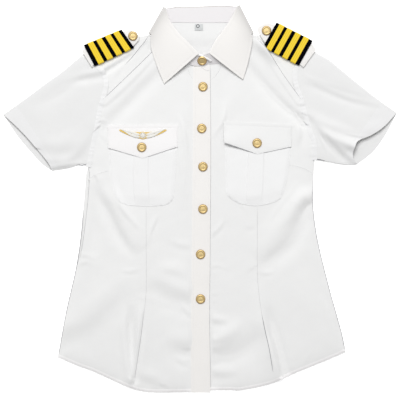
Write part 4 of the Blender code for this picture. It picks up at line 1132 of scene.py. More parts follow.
# Sections of narrow folds of cloth, as (sideways, share of the height)
DART_SECTION = [(-2.6, 0.02), (-1.6, 0.2), (-0.8, 0.5), (-0.2, 0.6), (0.25, 0.5), (0.55, 0.02)]
ARMHOLE_BAND = [(-4.4, 0.0), (-3.6, 0.6), (-2.4, 0.9), (-0.8, 1.0), (0.8, 1.0), (2.2, 0.9),
                (3.2, 0.6), (3.9, 0.0)]
HEM_BAND = [(-0.3, -0.75), (0.0, 0.1), (0.5, 0.62), (1.6, 0.8), (3.2, 0.8), (4.6, 0.55),
            (5.2, 0.02)]
# Seams and folds whose shade is painted as a thin dark line
YOKE_FOLD_LINE = [(-87, 279), (-93, 269), (-102, 258), (-114, 243), (-128, 228)]
NECK_SEAM_L = [(-21, 226), (-18.5, 214), (-12.5, 205)]
NECK_SEAM_R = [(35, 226), (30, 214), (20, 203)]
TAB_SEAM = [(2, 224), (9, 219.5), (17, 218)]
# Painted shade of the folds under the arms, as thin dark lines: path and width
UNDERARM_SHADE_LINES = [([(-210, 58), (-199, 57.5), (-192, 60)], 2.0),
                  ([(192, 66), (200, 67.5), (213, 65)], 1.8)]
# Painted shadow under each flap's point, as dark lines
FLAP_SHADES = ((FLAP_L, (0.45, 0.45)), (FLAP_R, (0.9, 0.4)))   # widths at both sides of the point
SHADE_STRIP_TIP, SHADE_STRIP_TAPER = 0.15, 14        # share of the width at its ends, and growth's length
SEAM_RISE = 0.12       # rise of an armhole's seam over the cloth
TICKS = 0.3            # depth of the small puckers across a hem or an armhole's seam
TICK_SPACING = (3.0, 8.0)     # least and greatest distance between them
TICK_DEPTH = (0.35, 1.0)      # the same for their share of the depth
TICK_WIDTH, TICK_LEAN = 0.9, 0.6      # their width, and how far they lean along the seam
ROOT = 0.3             # depth to which the ends of a fold go under the cloth
FOLD_TAPER = 6.0       # length over which a fold without puckers tapers off


def upwards(points):
    """The grid with its columns turned round if it faced down."""
    along, across = np.gradient(points, axis=0), np.gradient(points, axis=1)
    facing = np.cross(across, along)[..., 2].sum()
    return points if facing > 0 else points[:, ::-1]


def ridge(path, section, high, base, ticks=0.0, seed=1):
    """A narrow fold of cloth along a path, its section as (sideways, height share) on a base."""
    line, length = evenly(path)
    run = np.linspace(0, length, len(line))
    rise = np.full(len(line), float(high))
    if ticks:
        draw = np.random.default_rng(seed)
        places = np.cumsum(draw.uniform(*TICK_SPACING, int(length / TICK_SPACING[0])))
        for place, deep in zip(places, draw.uniform(*TICK_DEPTH, len(places))):
            rise -= ticks * deep * np.exp(-((run - place) / TICK_WIDTH) ** 2)
    rows = [shifted(line, side) for side, _ in section]
    grid = np.array(rows).transpose(1, 0, 2)
    rises = np.column_stack([share * np.interp(run + TICK_LEAN * side, run, rise)
                             for side, share in section])
    ground = base(grid[..., 0], grid[..., 1])
    taper = 1.0 if ticks else np.clip(np.minimum(run, length - run) / FOLD_TAPER, 0, 1)[:, None]
    return upwards(np.dstack([grid, ground - ROOT + (rises + ROOT) * taper]))


def folds_of_cloth(name, grids, wall=0.25, finish="poplin"):
    """Several narrow folds as one piece, each facing up."""
    piece = joined([woven_grid(grid) for grid in grids])
    walled(piece, wall)
    return dress(piece, name, finish)


def seam_height(body):
    """Height of an armhole's seam, over the higher one of the sleeve and the body."""
    return lambda x, y: np.maximum(body(x, y), sleeve_cloth(x, y)) + SEAM_RISE


def crevice(path, base, width, lift=0.1):
    """A narrow strip of painted shade along a path on a base height, where a seam's crevice lies in
    shade.
    """
    line, _ = evenly(path)
    ends = np.minimum(np.arange(len(line)), np.arange(len(line))[::-1])
    half = width / 2 * np.clip(SHADE_STRIP_TIP + ends / SHADE_STRIP_TAPER, 0, 1)[:, None]
    side = shifted(line, 1.0) - line
    grid = np.array([line - side * half, line, line + side * half]).transpose(1, 0, 2)
    return upwards(np.dstack([grid, base(grid[..., 0], grid[..., 1]) + lift]))


def flap_painted_shade_strips():
    """Painted shadow: dark lines under the two sides of each flap's point."""
    strips = []
    for flap, widths in FLAP_SHADES:
        row = smooth_path(flap["top"], 10)
        corners = [np.array(flap[name]) for name in ("left", "point", "right")]
        for start, end, width in zip(corners, corners[1:], widths):
            path = [start * (1 - k) + end * k + (0, 0.3) for k in (0, 0.33, 0.67, 1)]
            strips.append(crevice(path, lambda x, y: flap_cloth(x, y, row), width, lift=0.12))
    return strips


def painted_shade_strips():
    """Strips of painted shade along the yoke, darts, neck, placket, sides, flaps and underarms."""
    yoke = [crevice(moved(YOKE_LINE_L, 0.4, -0.3), left_front, 0.6),
            crevice(moved(YOKE_LINE_R[:4], -0.4, -0.3), right_front, 0.5),
            crevice(YOKE_FOLD_LINE, yoke_cloth, 0.7)]
    darts = [crevice(moved(path, 0.5), fronts, 0.16, lift=0.3) for path, _ in DARTS]
    darts += [crevice(path, fronts, width, lift=0.3) for path, width in SKIRT_LINES]
    necks = [crevice(NECK_SEAM_L, fronts, 0.2), crevice(NECK_SEAM_R, fronts, 0.2),
             crevice(TAB_SEAM, placket_height, 0.4)]
    placket = [crevice(moved(PLACKET_R, 0.4), right_front, 0.3, lift=0.2)]
    sides = [crevice(moved(SIDE_FRONT_L[3:], -0.5), level(CLOTH), 0.3, lift=0.2),
             crevice(moved(SIDE_R[:-1], -0.6), right_front, 0.8, lift=0.15),
             crevice(moved(SIDE_L[:5], 0.8, 0.3), left_front, 0.8, lift=0.15)]
    arms = [crevice(path, sleeve_cloth, width, lift=0.3) for path, width in UNDERARM_SHADE_LINES]
    return yoke + darts + necks + placket + sides + flap_painted_shade_strips() + arms


# ---------------------------------------------------------------- stitches

THREAD_RISE = 0.08     # rise of the middle of a stitch over the groove
THREAD_FLAT = 0.8      # its height as a share of its width
THREAD_DIVE = 0.35     # depth to which its ends dive, as a share of its height


def one_stitch():
    """A single stitch, 1 long, 1 wide and 1 high: a short thread whose ends dive into the cloth."""
    deselect()
    bpy.ops.mesh.primitive_cylinder_add(vertices=5, radius=0.5, depth=0.5, end_fill_type="TRIFAN",
                                        rotation=(0, math.pi / 2, 0))
    co, faces = taken_apart(bpy.context.object)
    tip = np.abs(co[:, 0]) > 0.2
    centre = tip & (np.hypot(co[:, 1], co[:, 2]) < 0.01)
    co[centre, 0] *= 2.0
    co[centre, 2] -= THREAD_DIVE
    return co, faces


def scattered(name, shape, faces, places, finish):
    """One mesh of many copies of a small shape, each placed by (centre, along, across, up) rows."""
    rows = np.array(places)
    points = rows[:, None, 0] + sum(shape[None, :, c, None] * rows[:, None, c + 1]
                                    for c in range(3))
    deselect()
    bpy.ops.mesh.primitive_circle_add(vertices=3, radius=MM)
    piece = bpy.context.object
    mesh = bpy.data.meshes.new(name)
    steps = np.arange(len(places)) * len(shape)
    all_faces = [tuple(k + step for k in face) for step in steps for face in faces]
    mesh.from_pydata((points.reshape(-1, 3) * MM).tolist(), [], all_faces)
    mesh.uv_layers.new(name="UVMap")
    old, piece.data = piece.data, mesh
    bpy.data.meshes.remove(old)
    piece.matrix_world.identity()
    return dress(piece, name, finish, sharp=80)


def sew(name, lines, finish="thread_white"):
    """Rows of stitches along lines of points, as one mesh."""
    size = look()
    pitch, length, wide = size.stitch_pitch / MM, size.stitch_length / MM, size.stitch_width / MM
    places = []
    for line in lines:
        if len(line) < 3:
            continue
        run = run_along(line)
        spots = np.arange(pitch / 2, run[-1], pitch)
        along = (at_lengths(np.minimum(spots + 1, run[-1]), run, line)
                 - at_lengths(np.maximum(spots - 1, 0), run, line))
        for c, t, n in zip(at_lengths(spots, run, line), along, np.linalg.norm(along, axis=1)):
            if n > 0.01:
                t = t / n
                across = np.array([-t[1], t[0], 0])
                up = np.cross(t, across)
                places.append((c + up * THREAD_RISE, t * length, across * wide,
                               up * wide * THREAD_FLAT))
    return scattered(name, *one_stitch(), places, finish)


# ---------------------------------------------------------------- slides, straps, badge, buttons

# Ends of the bars of braid, as shares of the slide
BRAID_BARS = [(0.100, 0.244), (0.325, 0.469), (0.559, 0.699), (0.775, 0.915)]
SLIDE_TURN = 6         # steps of the slide's bend at each edge
BRAID_RISE = 0.55
BRAID_ACROSS = 62      # steps of a bar's grid across the slide
BRAID_THREADS = 8
BRAID_RUN = 46.0       # length of a bar over the slide, for the twist of its threads
BRAID_RELIEF = 0.16    # height of the threads


def slide_rings(corners, sign, stations, across, lift=0.0, start=0.0, end=1.0):
    """Rings of a shoulder slide, or of a sleeve round it that stands off by lift."""
    upper_a, upper_b, lower_b, lower_a = (np.array(c, float) for c in corners)
    share = np.linspace(start, end, stations)[:, None]
    upper = upper_a * (1 - share) + upper_b * share
    lower = lower_a * (1 - share) + lower_b * share
    out_upper, out_lower = shifted(upper, -sign) - upper, shifted(lower, sign) - lower
    a, b = upper - out_upper * (BEND - lift), lower - out_lower * (BEND - lift)
    plan = patch(np.linspace(a[0], b[0], across), np.linspace(a[-1], b[-1], across), a, b)
    bottom = top_lay(plan, level(SLIDE_BASE - lift))
    top = top_lay(plan, level(SLIDE_BASE + SLIDE_HIGH + lift))
    return flat_tube(a, b, out_upper, out_lower, bottom, top, SLIDE_TURN)


def braid_grid(corners, sign, start, end):
    """A bar of braid over the top of a slide: threads side by side, each twisted."""
    rings = slide_rings(corners, sign, 33, BRAID_ACROSS, BRAID_RISE, start, end)[:, BRAID_ACROSS:]
    thread = np.linspace(0, BRAID_THREADS * math.pi, len(rings))[:, None]
    run = np.linspace(0, BRAID_RUN, rings.shape[1])[None, :]
    twist = 0.7 + 0.3 * np.sin(run * 3.4 + np.floor(thread / math.pi) * 1.9)
    rings[..., 2] += BRAID_RELIEF * np.abs(np.sin(thread)) * twist
    rings[[0, -1], :, 2] -= 0.5
    return upwards(rings)


def make_slides():
    """The black slides round the straps, each with four bars of braid."""
    for side, corners, sign in (("right", SLIDE_L, -1), ("left", SLIDE_R, 1)):
        felt = cloth(f"slide_felt_{side}", slide_rings(corners, sign, 60, 36), finish="slide_black",
                     wall=FELT_WALL, tube=True)
        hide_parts(f"slide_{side}")
        bars = [braid_grid(corners, sign, *bar) for bar in BRAID_BARS]
        folds_of_cloth(f"slide_braid_{side}", bars, wall=0.35, finish="braid_gold")


def inset_outline(outline, distance):
    """Points of an outline moved inward by a distance."""
    points = np.array(outline, float)
    after = np.roll(points, -1, axis=0)
    area = np.sum(points[:, 0] * after[:, 1] - after[:, 0] * points[:, 1])
    turn = after - points
    turn /= np.linalg.norm(turn, axis=1)[:, None]
    normal = np.column_stack([-turn[:, 1], turn[:, 0]]) * np.sign(area)
    before = np.roll(normal, 1, axis=0)
    mitre = (normal + before) / (1 + np.sum(normal * before, axis=1))[:, None]
    return points + mitre * distance


def make_straps():
    """The shoulder straps, each a thick outline with rounded edges."""
    base = SLIDE_BASE + SLIDE_WALL + GAP
    for side, outline in (("right", STRAP_L), ("left", STRAP_R)):
        deselect()
        bpy.ops.mesh.primitive_circle_add(vertices=len(outline), radius=0.05, fill_type="NGON")
        piece = bpy.context.object
        corners = np.column_stack([outline, np.full(len(outline), base)]) * MM
        piece.data.vertices.foreach_set("co", corners.ravel())
        edit(piece)
        extrude(STRAP_THICK)
        face_out()
        bpy.ops.mesh.bevel(offset=0.00045, segments=3, affect="EDGES")
        leave_edit()
        uv = piece.data.uv_layers.active or piece.data.uv_layers.new(name="UVMap")
        flat = np.array([piece.data.vertices[loop.vertex_index].co[:2]
                         for loop in piece.data.loops])
        uv.data.foreach_set("uv", flat.astype(np.float32).ravel())
        dress(piece, f"strap_cloth_{side}", "poplin_double", sharp=35)
        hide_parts(f"strap_{side}")
        inner = inset_outline(outline, STRAP_THREAD)
        line = np.vstack([np.linspace(p, q, 12)[:-1]
                          for p, q in zip(inner, np.roll(inner, -1, axis=0))])
        Made.stitches.append(top_lay(line[None], level(base + STRAP_THICK))[0])


FEATHER_RISE, BOSS_RISE = 0.75, 0.8    # their heights over the flap
# Feathers of the badge: how far out the root lies, its height, length, width and upward turn
FEATHERS = [(5.0, 1.6, 13.5, 3.4, 3), (9.0, 3.0, 13.5, 3.2, 8), (13.5, 4.0, 13.5, 3.0, 12),
            (18.5, 5.0, 13.0, 2.8, 15), (24.0, 6.0, 12.0, 2.5, 18), (29.0, 7.2, 10.5, 2.1, 22),
            (5.0, -2.6, 12.0, 3.4, 5), (9.5, -2.0, 12.5, 3.2, 10), (14.5, -0.4, 12.0, 2.9, 15),
            (19.5, 1.8, 11.0, 2.5, 20), (24.5, 4.0, 9.5, 2.0, 24)]


def badge_ground(top_row):
    """Grid of the badge: two wings of thread beside a boss, on the flap, with a raised rim."""
    span = np.linspace(-1, 1, 129)
    out = np.abs(span)
    boss = np.sqrt(np.clip(1 - (out / 0.18) ** 2, 0, 1)) * BADGE_BOSS
    upper = np.maximum(boss, BADGE_HALF + 4.6 * out ** 2)
    lower = -BADGE_HALF + 13.6 * out ** 1.7
    lower = np.where(boss > 0, np.minimum(-boss, lower), lower)
    centre_x, centre_y = BADGE_CENTRE
    share = np.linspace(0, 1, 13)[:, None]
    plan = np.dstack([np.repeat(centre_x + BADGE_WING * span[None], 13, axis=0),
                      centre_y + lower * (1 - share) + upper * share])
    seat = flap_cloth(plan[..., 0], plan[..., 1], top_row) + GAP
    border = np.minimum(share, 1 - share) * (upper - lower)[None]
    rise = 0.35 + 0.45 * np.exp(-((border - 0.5) / 0.7) ** 2)
    return upwards(np.dstack([plan, seat + rise]))


def make_badge(top_row):
    """A plain winged badge: thread wings with two tiers of feathers beside a ringed boss."""
    def seat(x, y):
        return flap_cloth(np.array([float(x)]), np.array([float(y)]), top_row)[0] + GAP

    ground = cloth("badge_ground", badge_ground(top_row), finish="thread_gold", wall=0.3)
    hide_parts("badge_wings")
    deselect()
    bpy.ops.mesh.primitive_uv_sphere_add(segments=10, ring_count=8, radius=0.5,
                                         rotation=(0, math.pi / 2, 0))
    shape, faces = taken_apart(bpy.context.object)
    shape[:, 1] *= 1.15 - 0.7 * shape[:, 0]
    centre_x, centre_y = BADGE_CENTRE
    places = []
    for sign in (-1, 1):
        for x, y, length, width, turn in FEATHERS:
            angle = math.radians(turn)
            along = np.array([sign * math.cos(angle), math.sin(angle), 0])
            middle = np.array([centre_x + sign * x, centre_y + y, 0]) + along * length / 2
            middle[2] = seat(*middle[:2]) + FEATHER_RISE
            across = np.array([-along[1], along[0], 0])
            places.append((middle, along * length, across * width, np.array([0, 0, 1.0])))
    scattered("badge_feathers", shape, faces, places, "thread_silver")
    deselect()
    bpy.ops.mesh.primitive_torus_add(major_segments=40, minor_segments=8,
                                     major_radius=BOSS_RING * MM, minor_radius=BOSS_WIRE * MM)
    ring = bpy.context.object
    bpy.ops.mesh.primitive_uv_sphere_add(segments=24, ring_count=12, radius=BOSS_DOME * MM,
                                         scale=(1, 1, 0.3))
    dome = bpy.context.object
    apply_transform()
    both = joined([ring, dome])
    high = seat(centre_x, centre_y) + BOSS_RISE
    bpy.ops.transform.translate(value=(centre_x * MM, centre_y * MM, high * MM))
    apply_transform()
    dress(both, "badge_boss", "thread_silver")


# Section of a button from its back to the middle of its face, as (radius, height)
BUTTON_RINGS = [(7.5, 0.0), (7.9, 0.3), (8.0, 0.8), (7.7, 1.3), (7.2, 1.8), (6.7, 2.2),
                (6.2, 2.45), (5.8, 2.5), (5.4, 2.35), (5.1, 2.0), (4.8, 1.8), (4.2, 1.78),
                (3.4, 1.84), (2.3, 1.95), (1.2, 2.0), (0.5, 2.0)]
BUTTON_SEGMENTS = 96
ROPE_RADIUS, ROPE_WIDTH, ROPE_RISE = 5.9, 0.5, 0.07
RAY_ENDS, RAY_RISE = (1.0, 4.9), 0.035
SEAT_RADIUS = 7.0      # a button rests on the highest point of the cloth within this radius


def model_button():
    """A brass button with a twisted rope rim round a field of fine rays, its back at height 0."""
    deselect()
    bpy.ops.mesh.primitive_circle_add(vertices=BUTTON_SEGMENTS, radius=BUTTON_RINGS[0][0] * MM,
                                      fill_type="NGON")
    piece = bpy.context.object
    edit(piece)
    for (r0, z0), (r1, z1) in zip(BUTTON_RINGS, BUTTON_RINGS[1:]):
        extrude(z1 - z0)
        bpy.ops.transform.resize(value=(r1 / r0, r1 / r0, 1), center_override=(0, 0, z1 * MM))
    face_out()
    leave_edit()
    co = coordinates(piece)
    r, angle = np.hypot(co[:, 0], co[:, 1]), np.arctan2(co[:, 1], co[:, 0])
    from_rope = r - ROPE_RADIUS
    rope = np.exp(-(from_rope / ROPE_WIDTH) ** 2) * np.sin(24 * angle + 2.2 * from_rope) * ROPE_RISE
    rays = ((r > RAY_ENDS[0]) & (r < RAY_ENDS[1])) * np.sin(12 * angle) * RAY_RISE
    co[:, 2] += np.where(co[:, 2] > 1.0, rope + rays, 0)
    piece.data.vertices.foreach_set("co", (co * MM).ravel())
    return piece


def place_button(model, name, node, x, y, z, tilt=0.0, turn=0.0):
    """A copy of the button with its own mesh, set on its seat."""
    piece = bpy.data.objects.new(name, model.data.copy())
    bpy.context.scene.collection.objects.link(piece)
    piece.location = (x * MM, y * MM, z * MM)
    piece.rotation_euler = (math.radians(tilt), 0, turn)
    pick(piece)
    apply_transform()
    dress(piece, name, "brass", sharp=40)
    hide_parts(node)


def seat_height(x, y, height):
    """Height at which a button rests on a cloth."""
    angles = np.linspace(0, 2 * math.pi, 13)
    round_x, round_y = x + SEAT_RADIUS * np.cos(angles), y + SEAT_RADIUS * np.sin(angles)
    return float(np.max(height(round_x, round_y))) + GAP


def make_buttons():
    """The eleven buttons: on the placket, the flaps, the straps and the collar's stand."""
    model = model_button()
    placket_z = PLACKET_TOP + GAP
    for number, (x, y) in enumerate(PLACKET_BUTTONS, 1):
        place_button(model, f"brass_front_{number}", f"button_front_{number}", x, y, placket_z,
                     turn=number)
    for side, (x, y), flap in zip(("right", "left"), FLAP_BUTTONS, (FLAP_L, FLAP_R)):
        row = smooth_path(flap["top"], 10)
        seat = seat_height(x, y, lambda px, py: flap_cloth(px, py, row))
        place_button(model, f"brass_flap_{side}", f"button_flap_{side}", x, y, seat, turn=x)
    strap_z = SLIDE_BASE + SLIDE_WALL + STRAP_THICK + 2 * GAP
    for side, (x, y) in zip(("right", "left"), STRAP_BUTTONS):
        place_button(model, f"brass_strap_{side}", f"button_strap_{side}", x, y, strap_z, turn=x)
    place_button(model, "brass_collar", "button_collar", *COLLAR_BUTTON, COLLAR_BUTTON_TILT)
    bpy.data.objects.remove(model, do_unlink=True)


# ---------------------------------------------------------------- finishes

# Woven finishes: name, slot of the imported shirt, colour and threads per metre
WOVEN = [
    ("poplin", "poplin", "poplin", 2600.0),
    ("poplin_double", "poplin_double", "band", 2600.0),
    # Painted light: brighter copy of the white poplin for one flap, the hem's fold and the tab's
    # edge
    ("poplin_flap", "poplin_double", "flap", 2600.0),
    # Painted light: brighter copy of the white poplin for the pockets
    ("poplin_pocket", "poplin", "pocket", 2600.0),
    ("poplin_seam", "poplin", "seam", 2600.0),
    # Painted shade: darker copy of the white poplin for the stand inside the neck
    ("poplin_stand", "poplin_double", "stand", 2600.0),
    # Painted shade: darker copy of the white poplin for the sleeves
    ("poplin_sleeve", "poplin", "sleeve", 2600.0),
    # Painted shade: dark cloth for the strips laid where seams lie in shade
    ("seam_shade", "poplin", "crevice", 2600.0),
    # Lighter than the sleeves where the hem shows through, and darker than the fronts as painted
    # shade
    ("poplin_cuff", "poplin", "cuff", 2600.0),
    ("slide_black", "slide_black", "felt", 1300.0),
    ("label_grey", "label_cloth", "label", 1500.0),
    ("label_mark", "label_cloth", "mark", 1500.0),
    ("thread_white", "poplin", "thread", 1800.0),
]
# Twisted finishes: name, slot, colour, that of the sewing, rows and twists per metre, and the map
TWISTED = [
    ("braid_gold", "thread_gold", "braid", "braid_sewing", 300.0, 620.0, "UV"),
    ("thread_gold", "thread_gold", "gold", "gold_deep", 1100.0, 500.0, "Object"),
    ("thread_silver", "thread_gold", "silver", "silver_deep", 900.0, 500.0, "Object"),
]


def feed(tree, socket, value):
    """Joins a socket to another one, or sets its value."""
    if isinstance(value, bpy.types.NodeSocket):
        tree.links.new(value, socket)
    else:
        socket.default_value = value


def put(tree, kind, inputs=None, **settings):
    """Outputs of a new node with its settings, its inputs set to values or joined to sockets."""
    made = tree.nodes.new(kind)
    for key, value in settings.items():
        setattr(made, key, value)
    for key, value in (inputs or {}).items():
        feed(tree, made.inputs[key], value)
    return made.outputs


def maths(tree, operation, first, second=0.0):
    return put(tree, "ShaderNodeMath", {0: first, 1: second}, operation=operation)[0]


def times(tree, first, second):
    return maths(tree, "MULTIPLY", first, second)


def plus(tree, first, second):
    return maths(tree, "ADD", first, second)


def noise(tree, place, scale, detail):
    inputs = {"Vector": place, "Scale": scale, "Detail": detail}
    return put(tree, "ShaderNodeTexNoise", inputs)["Fac"]


def ranged(tree, value, **ends):
    """A value mapped from one range to another, whose ends are From/To Min/Max."""
    inputs = {key.replace("_", " "): end for key, end in ends.items()}
    return put(tree, "ShaderNodeMapRange", {0: value, **inputs})[0]


def blend_colours(tree, share, first, second):
    return put(tree, "ShaderNodeMix", {0: share, 6: first, 7: second}, data_type="RGBA")[2]


def placed(tree, group, inputs):
    return put(tree, "ShaderNodeGroup", inputs, node_tree=group)


def start_group(name, inputs, outputs):
    """A node group with its inputs (a kind, or a number's default) and its outputs (a kind)."""
    tree = bpy.data.node_groups.new(name, "ShaderNodeTree")
    for label, kind in inputs.items():
        number = not isinstance(kind, str)
        socket = tree.interface.new_socket(name=label, in_out="INPUT",
                                           socket_type="NodeSocket" + ("Float" if number else kind))
        if number:
            socket.default_value = kind
    for label, kind in outputs.items():
        tree.interface.new_socket(name=label, in_out="OUTPUT", socket_type="NodeSocket" + kind)
    return tree, tree.nodes.new("NodeGroupInput").outputs, tree.nodes.new("NodeGroupOutput").inputs


def weave_group():
    """Plain weave of crossing threads with slubs, from a map in metres."""
    tree, given, result = start_group(
        "Woven Threads", {"Vector": "Vector", "Threads per metre": 2600.0},
        {"Height": "Float", "Slub": "Float"})
    scaled = put(tree, "ShaderNodeVectorMath",
                 {0: given["Vector"], "Scale": given["Threads per metre"]}, operation="SCALE")
    parts = put(tree, "ShaderNodeSeparateXYZ", {0: scaled[0]})
    warp, weft = (maths(tree, "SINE", times(tree, parts[c], math.tau)) for c in (0, 1))
    stretched = put(tree, "ShaderNodeMapping",
                    {"Vector": given["Vector"], "Scale": (90.0, 900.0, 1.0)})
    slub = noise(tree, stretched[0], 1.0, 3.0)
    feed(tree, result["Height"], plus(tree, times(tree, warp, weft), times(tree, slub, 1.2)))
    feed(tree, result["Slub"], slub)
    return tree


def mottle_group():
    """Soft unevenness between two close colours."""
    tree, given, result = start_group(
        "Soft Mottle", {"Vector": "Vector", "Colour": "Color", "Shade": "Color", "Scale": 12.0},
        {"Colour": "Color"})
    broad = noise(tree, given["Vector"], given["Scale"], 4.0)
    share = ranged(tree, broad, From_Min=0.35, From_Max=0.7)
    feed(tree, result["Colour"], blend_colours(tree, share, given["Colour"], given["Shade"]))
    return tree


def twist_group():
    """Twisted threads side by side with rows of darker sewing, from a map in metres."""
    tree, given, result = start_group(
        "Twisted Braid", {"Vector": "Vector", "Colour": "Color", "Sewing": "Color",
                          "Rows per metre": 300.0, "Twist per metre": 600.0},
        {"Colour": "Color", "Height": "Float"})
    parts = put(tree, "ShaderNodeSeparateXYZ", {0: given["Vector"]})
    rows, run = (times(tree, times(tree, parts[c], given[each]), math.tau)
                 for c, each in ((1, "Rows per metre"), (0, "Twist per metre")))
    rows = maths(tree, "SINE", rows)
    twist = maths(tree, "SINE", plus(tree, run, times(tree, rows, 2.0)))
    share = times(tree, ranged(tree, rows, From_Min=0.72, From_Max=0.98),
                  ranged(tree, twist, From_Min=-0.4, From_Max=0.5))
    speck = noise(tree, given["Vector"], 900.0, 2.0)
    share = plus(tree, times(tree, share, 0.8), times(tree, speck, 0.22))
    feed(tree, result["Colour"], blend_colours(tree, share, given["Colour"], given["Sewing"]))
    feed(tree, result["Height"], plus(tree, times(tree, twist, 0.5), rows))
    return tree


def wear_and_shade_metal_group():
    """Polished metal with dull patches of wear, and painted shade: darker where the surface turns
    down from facing up.
    """
    tree, given, result = start_group(
        "Worn and Shaded Brass", {"Vector": "Vector", "Colour": "Color", "Wear and shade": "Color"},
        {"Colour": "Color", "Roughness": "Float"})
    patches = noise(tree, given["Vector"], 420.0, 4.0)
    # Painted shade: the colour darkens as the surface turns from facing up
    normal = put(tree, "ShaderNodeNewGeometry")["Normal"]
    facing = put(tree, "ShaderNodeSeparateXYZ", {0: normal})[2]
    side = ranged(tree, facing, From_Min=0.95, From_Max=0.35)
    share = maths(tree, "MINIMUM", plus(tree, side, times(tree, patches, 0.25)), 1.0)
    feed(tree, result["Colour"], blend_colours(tree, share, given["Colour"], given["Wear and shade"]))
    feed(tree, result["Roughness"], ranged(tree, patches, To_Min=0.38, To_Max=0.56))
    return tree


def plain_finish(name, **fixed):
    """A material whose fixed values are set on the shader's own sockets."""
    made = bpy.data.materials.new(name)
    made.use_nodes = True
    shader = made.node_tree.nodes["Principled BSDF"]
    for key, value in fixed.items():
        shader.inputs[key.replace("_", " ")].default_value = value
    return made, shader.inputs


def start_finish(name, **fixed):
    """A finish for the shirt: its tree, its shader's inputs and the maps of its place."""
    made, shader = plain_finish(name, **fixed)
    Made.finishes[name] = made
    return made.node_tree, shader, put(made.node_tree, "ShaderNodeTexCoord")


def bumped(tree, shader, height, distance):
    bump = put(tree, "ShaderNodeBump", {"Strength": 0.35, "Distance": distance, "Height": height})
    feed(tree, shader["Normal"], bump[0])


def darker(colour, share):
    return (*(channel * share for channel in colour[:3]), 1)


def make_finishes():
    """All finishes, from their tables and the colours in the settings."""
    colours = bpy.context.scene.pilot_shirt_colours
    weave, mottle, twist, wear_and_shade = weave_group(), mottle_group(), twist_group(), wear_and_shade_metal_group()
    for name, _, colour, count in WOVEN:
        colour = tuple(getattr(colours, colour))
        white = name.startswith(("poplin", "thread"))
        tree, shader, place = start_finish(
            name, Roughness=0.86 if white else 0.95, Sheen_Weight=0.12 if white else 0.0,
            Specular_IOR_Level=0.25 if white else 0.0)
        woven = placed(tree, weave, {"Vector": place["UV"], "Threads per metre": count})
        shaded = placed(tree, mottle, {"Vector": place["Object"], "Colour": colour, "Scale": 14.0,
                                       "Shade": darker(colour, 0.985 if white else 0.7)})[0]
        # Painted shade: the collar's colour darkens near its side folds, by the collar's mark of
        # painted shade
        if name == "poplin_double":
            mark = put(tree, "ShaderNodeAttribute", attribute_name="painted_shade_near_folds")
            shaded = blend_colours(tree, mark["Fac"], shaded, darker(colour, 0.62))
        feed(tree, shader["Base Color"], shaded)
        bumped(tree, shader, woven["Height"], 0.00006 if white else 0.0002)
    for name, _, colour, sewing, rows, turns, source in TWISTED:
        tree, shader, place = start_finish(name, Roughness=0.55, Metallic=0.0,
                                           Specular_IOR_Level=0.2)
        braid = placed(tree, twist, {
            "Vector": place[source], "Colour": tuple(getattr(colours, colour)),
            "Sewing": tuple(getattr(colours, sewing)), "Rows per metre": rows,
            "Twist per metre": turns})
        feed(tree, shader["Base Color"], braid["Colour"])
        bumped(tree, shader, braid["Height"], 0.00015)
    tree, shader, place = start_finish("brass", Metallic=0.75)
    metal = placed(tree, wear_and_shade, {"Vector": place["Object"], "Colour": tuple(colours.brass),
                                "Wear and shade": tuple(colours.brass_wear_and_shade)})
    for name, socket in (("Colour", "Base Color"), ("Roughness", "Roughness")):
        feed(tree, shader[socket], metal[name])


# ---------------------------------------------------------------- settings

def length_property(name, description, default):
    return bpy.props.FloatProperty(name=name, description=description, default=default, min=0.0,
                                   unit="LENGTH", precision=5)


def colour_property(name, description, default):
    return bpy.props.FloatVectorProperty(
        name=name, description=description, default=(*default, 1.0), size=4, min=0.0, max=1.0,
        subtype="COLOR")


class ShirtSizes(bpy.types.PropertyGroup):
    """Sizes of the cloth, its sewing and its creases."""
    cloth_wall: length_property("Cloth wall", "Thickness of one layer of the dressed cloth", 0.0006)
    stitch_length: length_property("Stitch length", "Length of one stitch that shows", 0.0020)
    stitch_pitch: length_property("Stitch pitch", "Distance from one stitch to the next", 0.0029)
    stitch_width: length_property("Thread width", "Thickness of the sewing thread", 0.00042)
    groove: length_property("Stitch groove", "Depth that a row of stitches presses into the cloth",
                            0.00022)
    rumple: bpy.props.FloatProperty(
        name="Rumple", description="Height of the faint unevenness in millimetres",
        default=0.06, min=0.0, max=1.0)
    crease_depth: bpy.props.FloatProperty(
        name="Crease depth", description="Share of the narrow creases' depth",
        default=2.4, min=0.0, max=4.0, subtype="FACTOR")


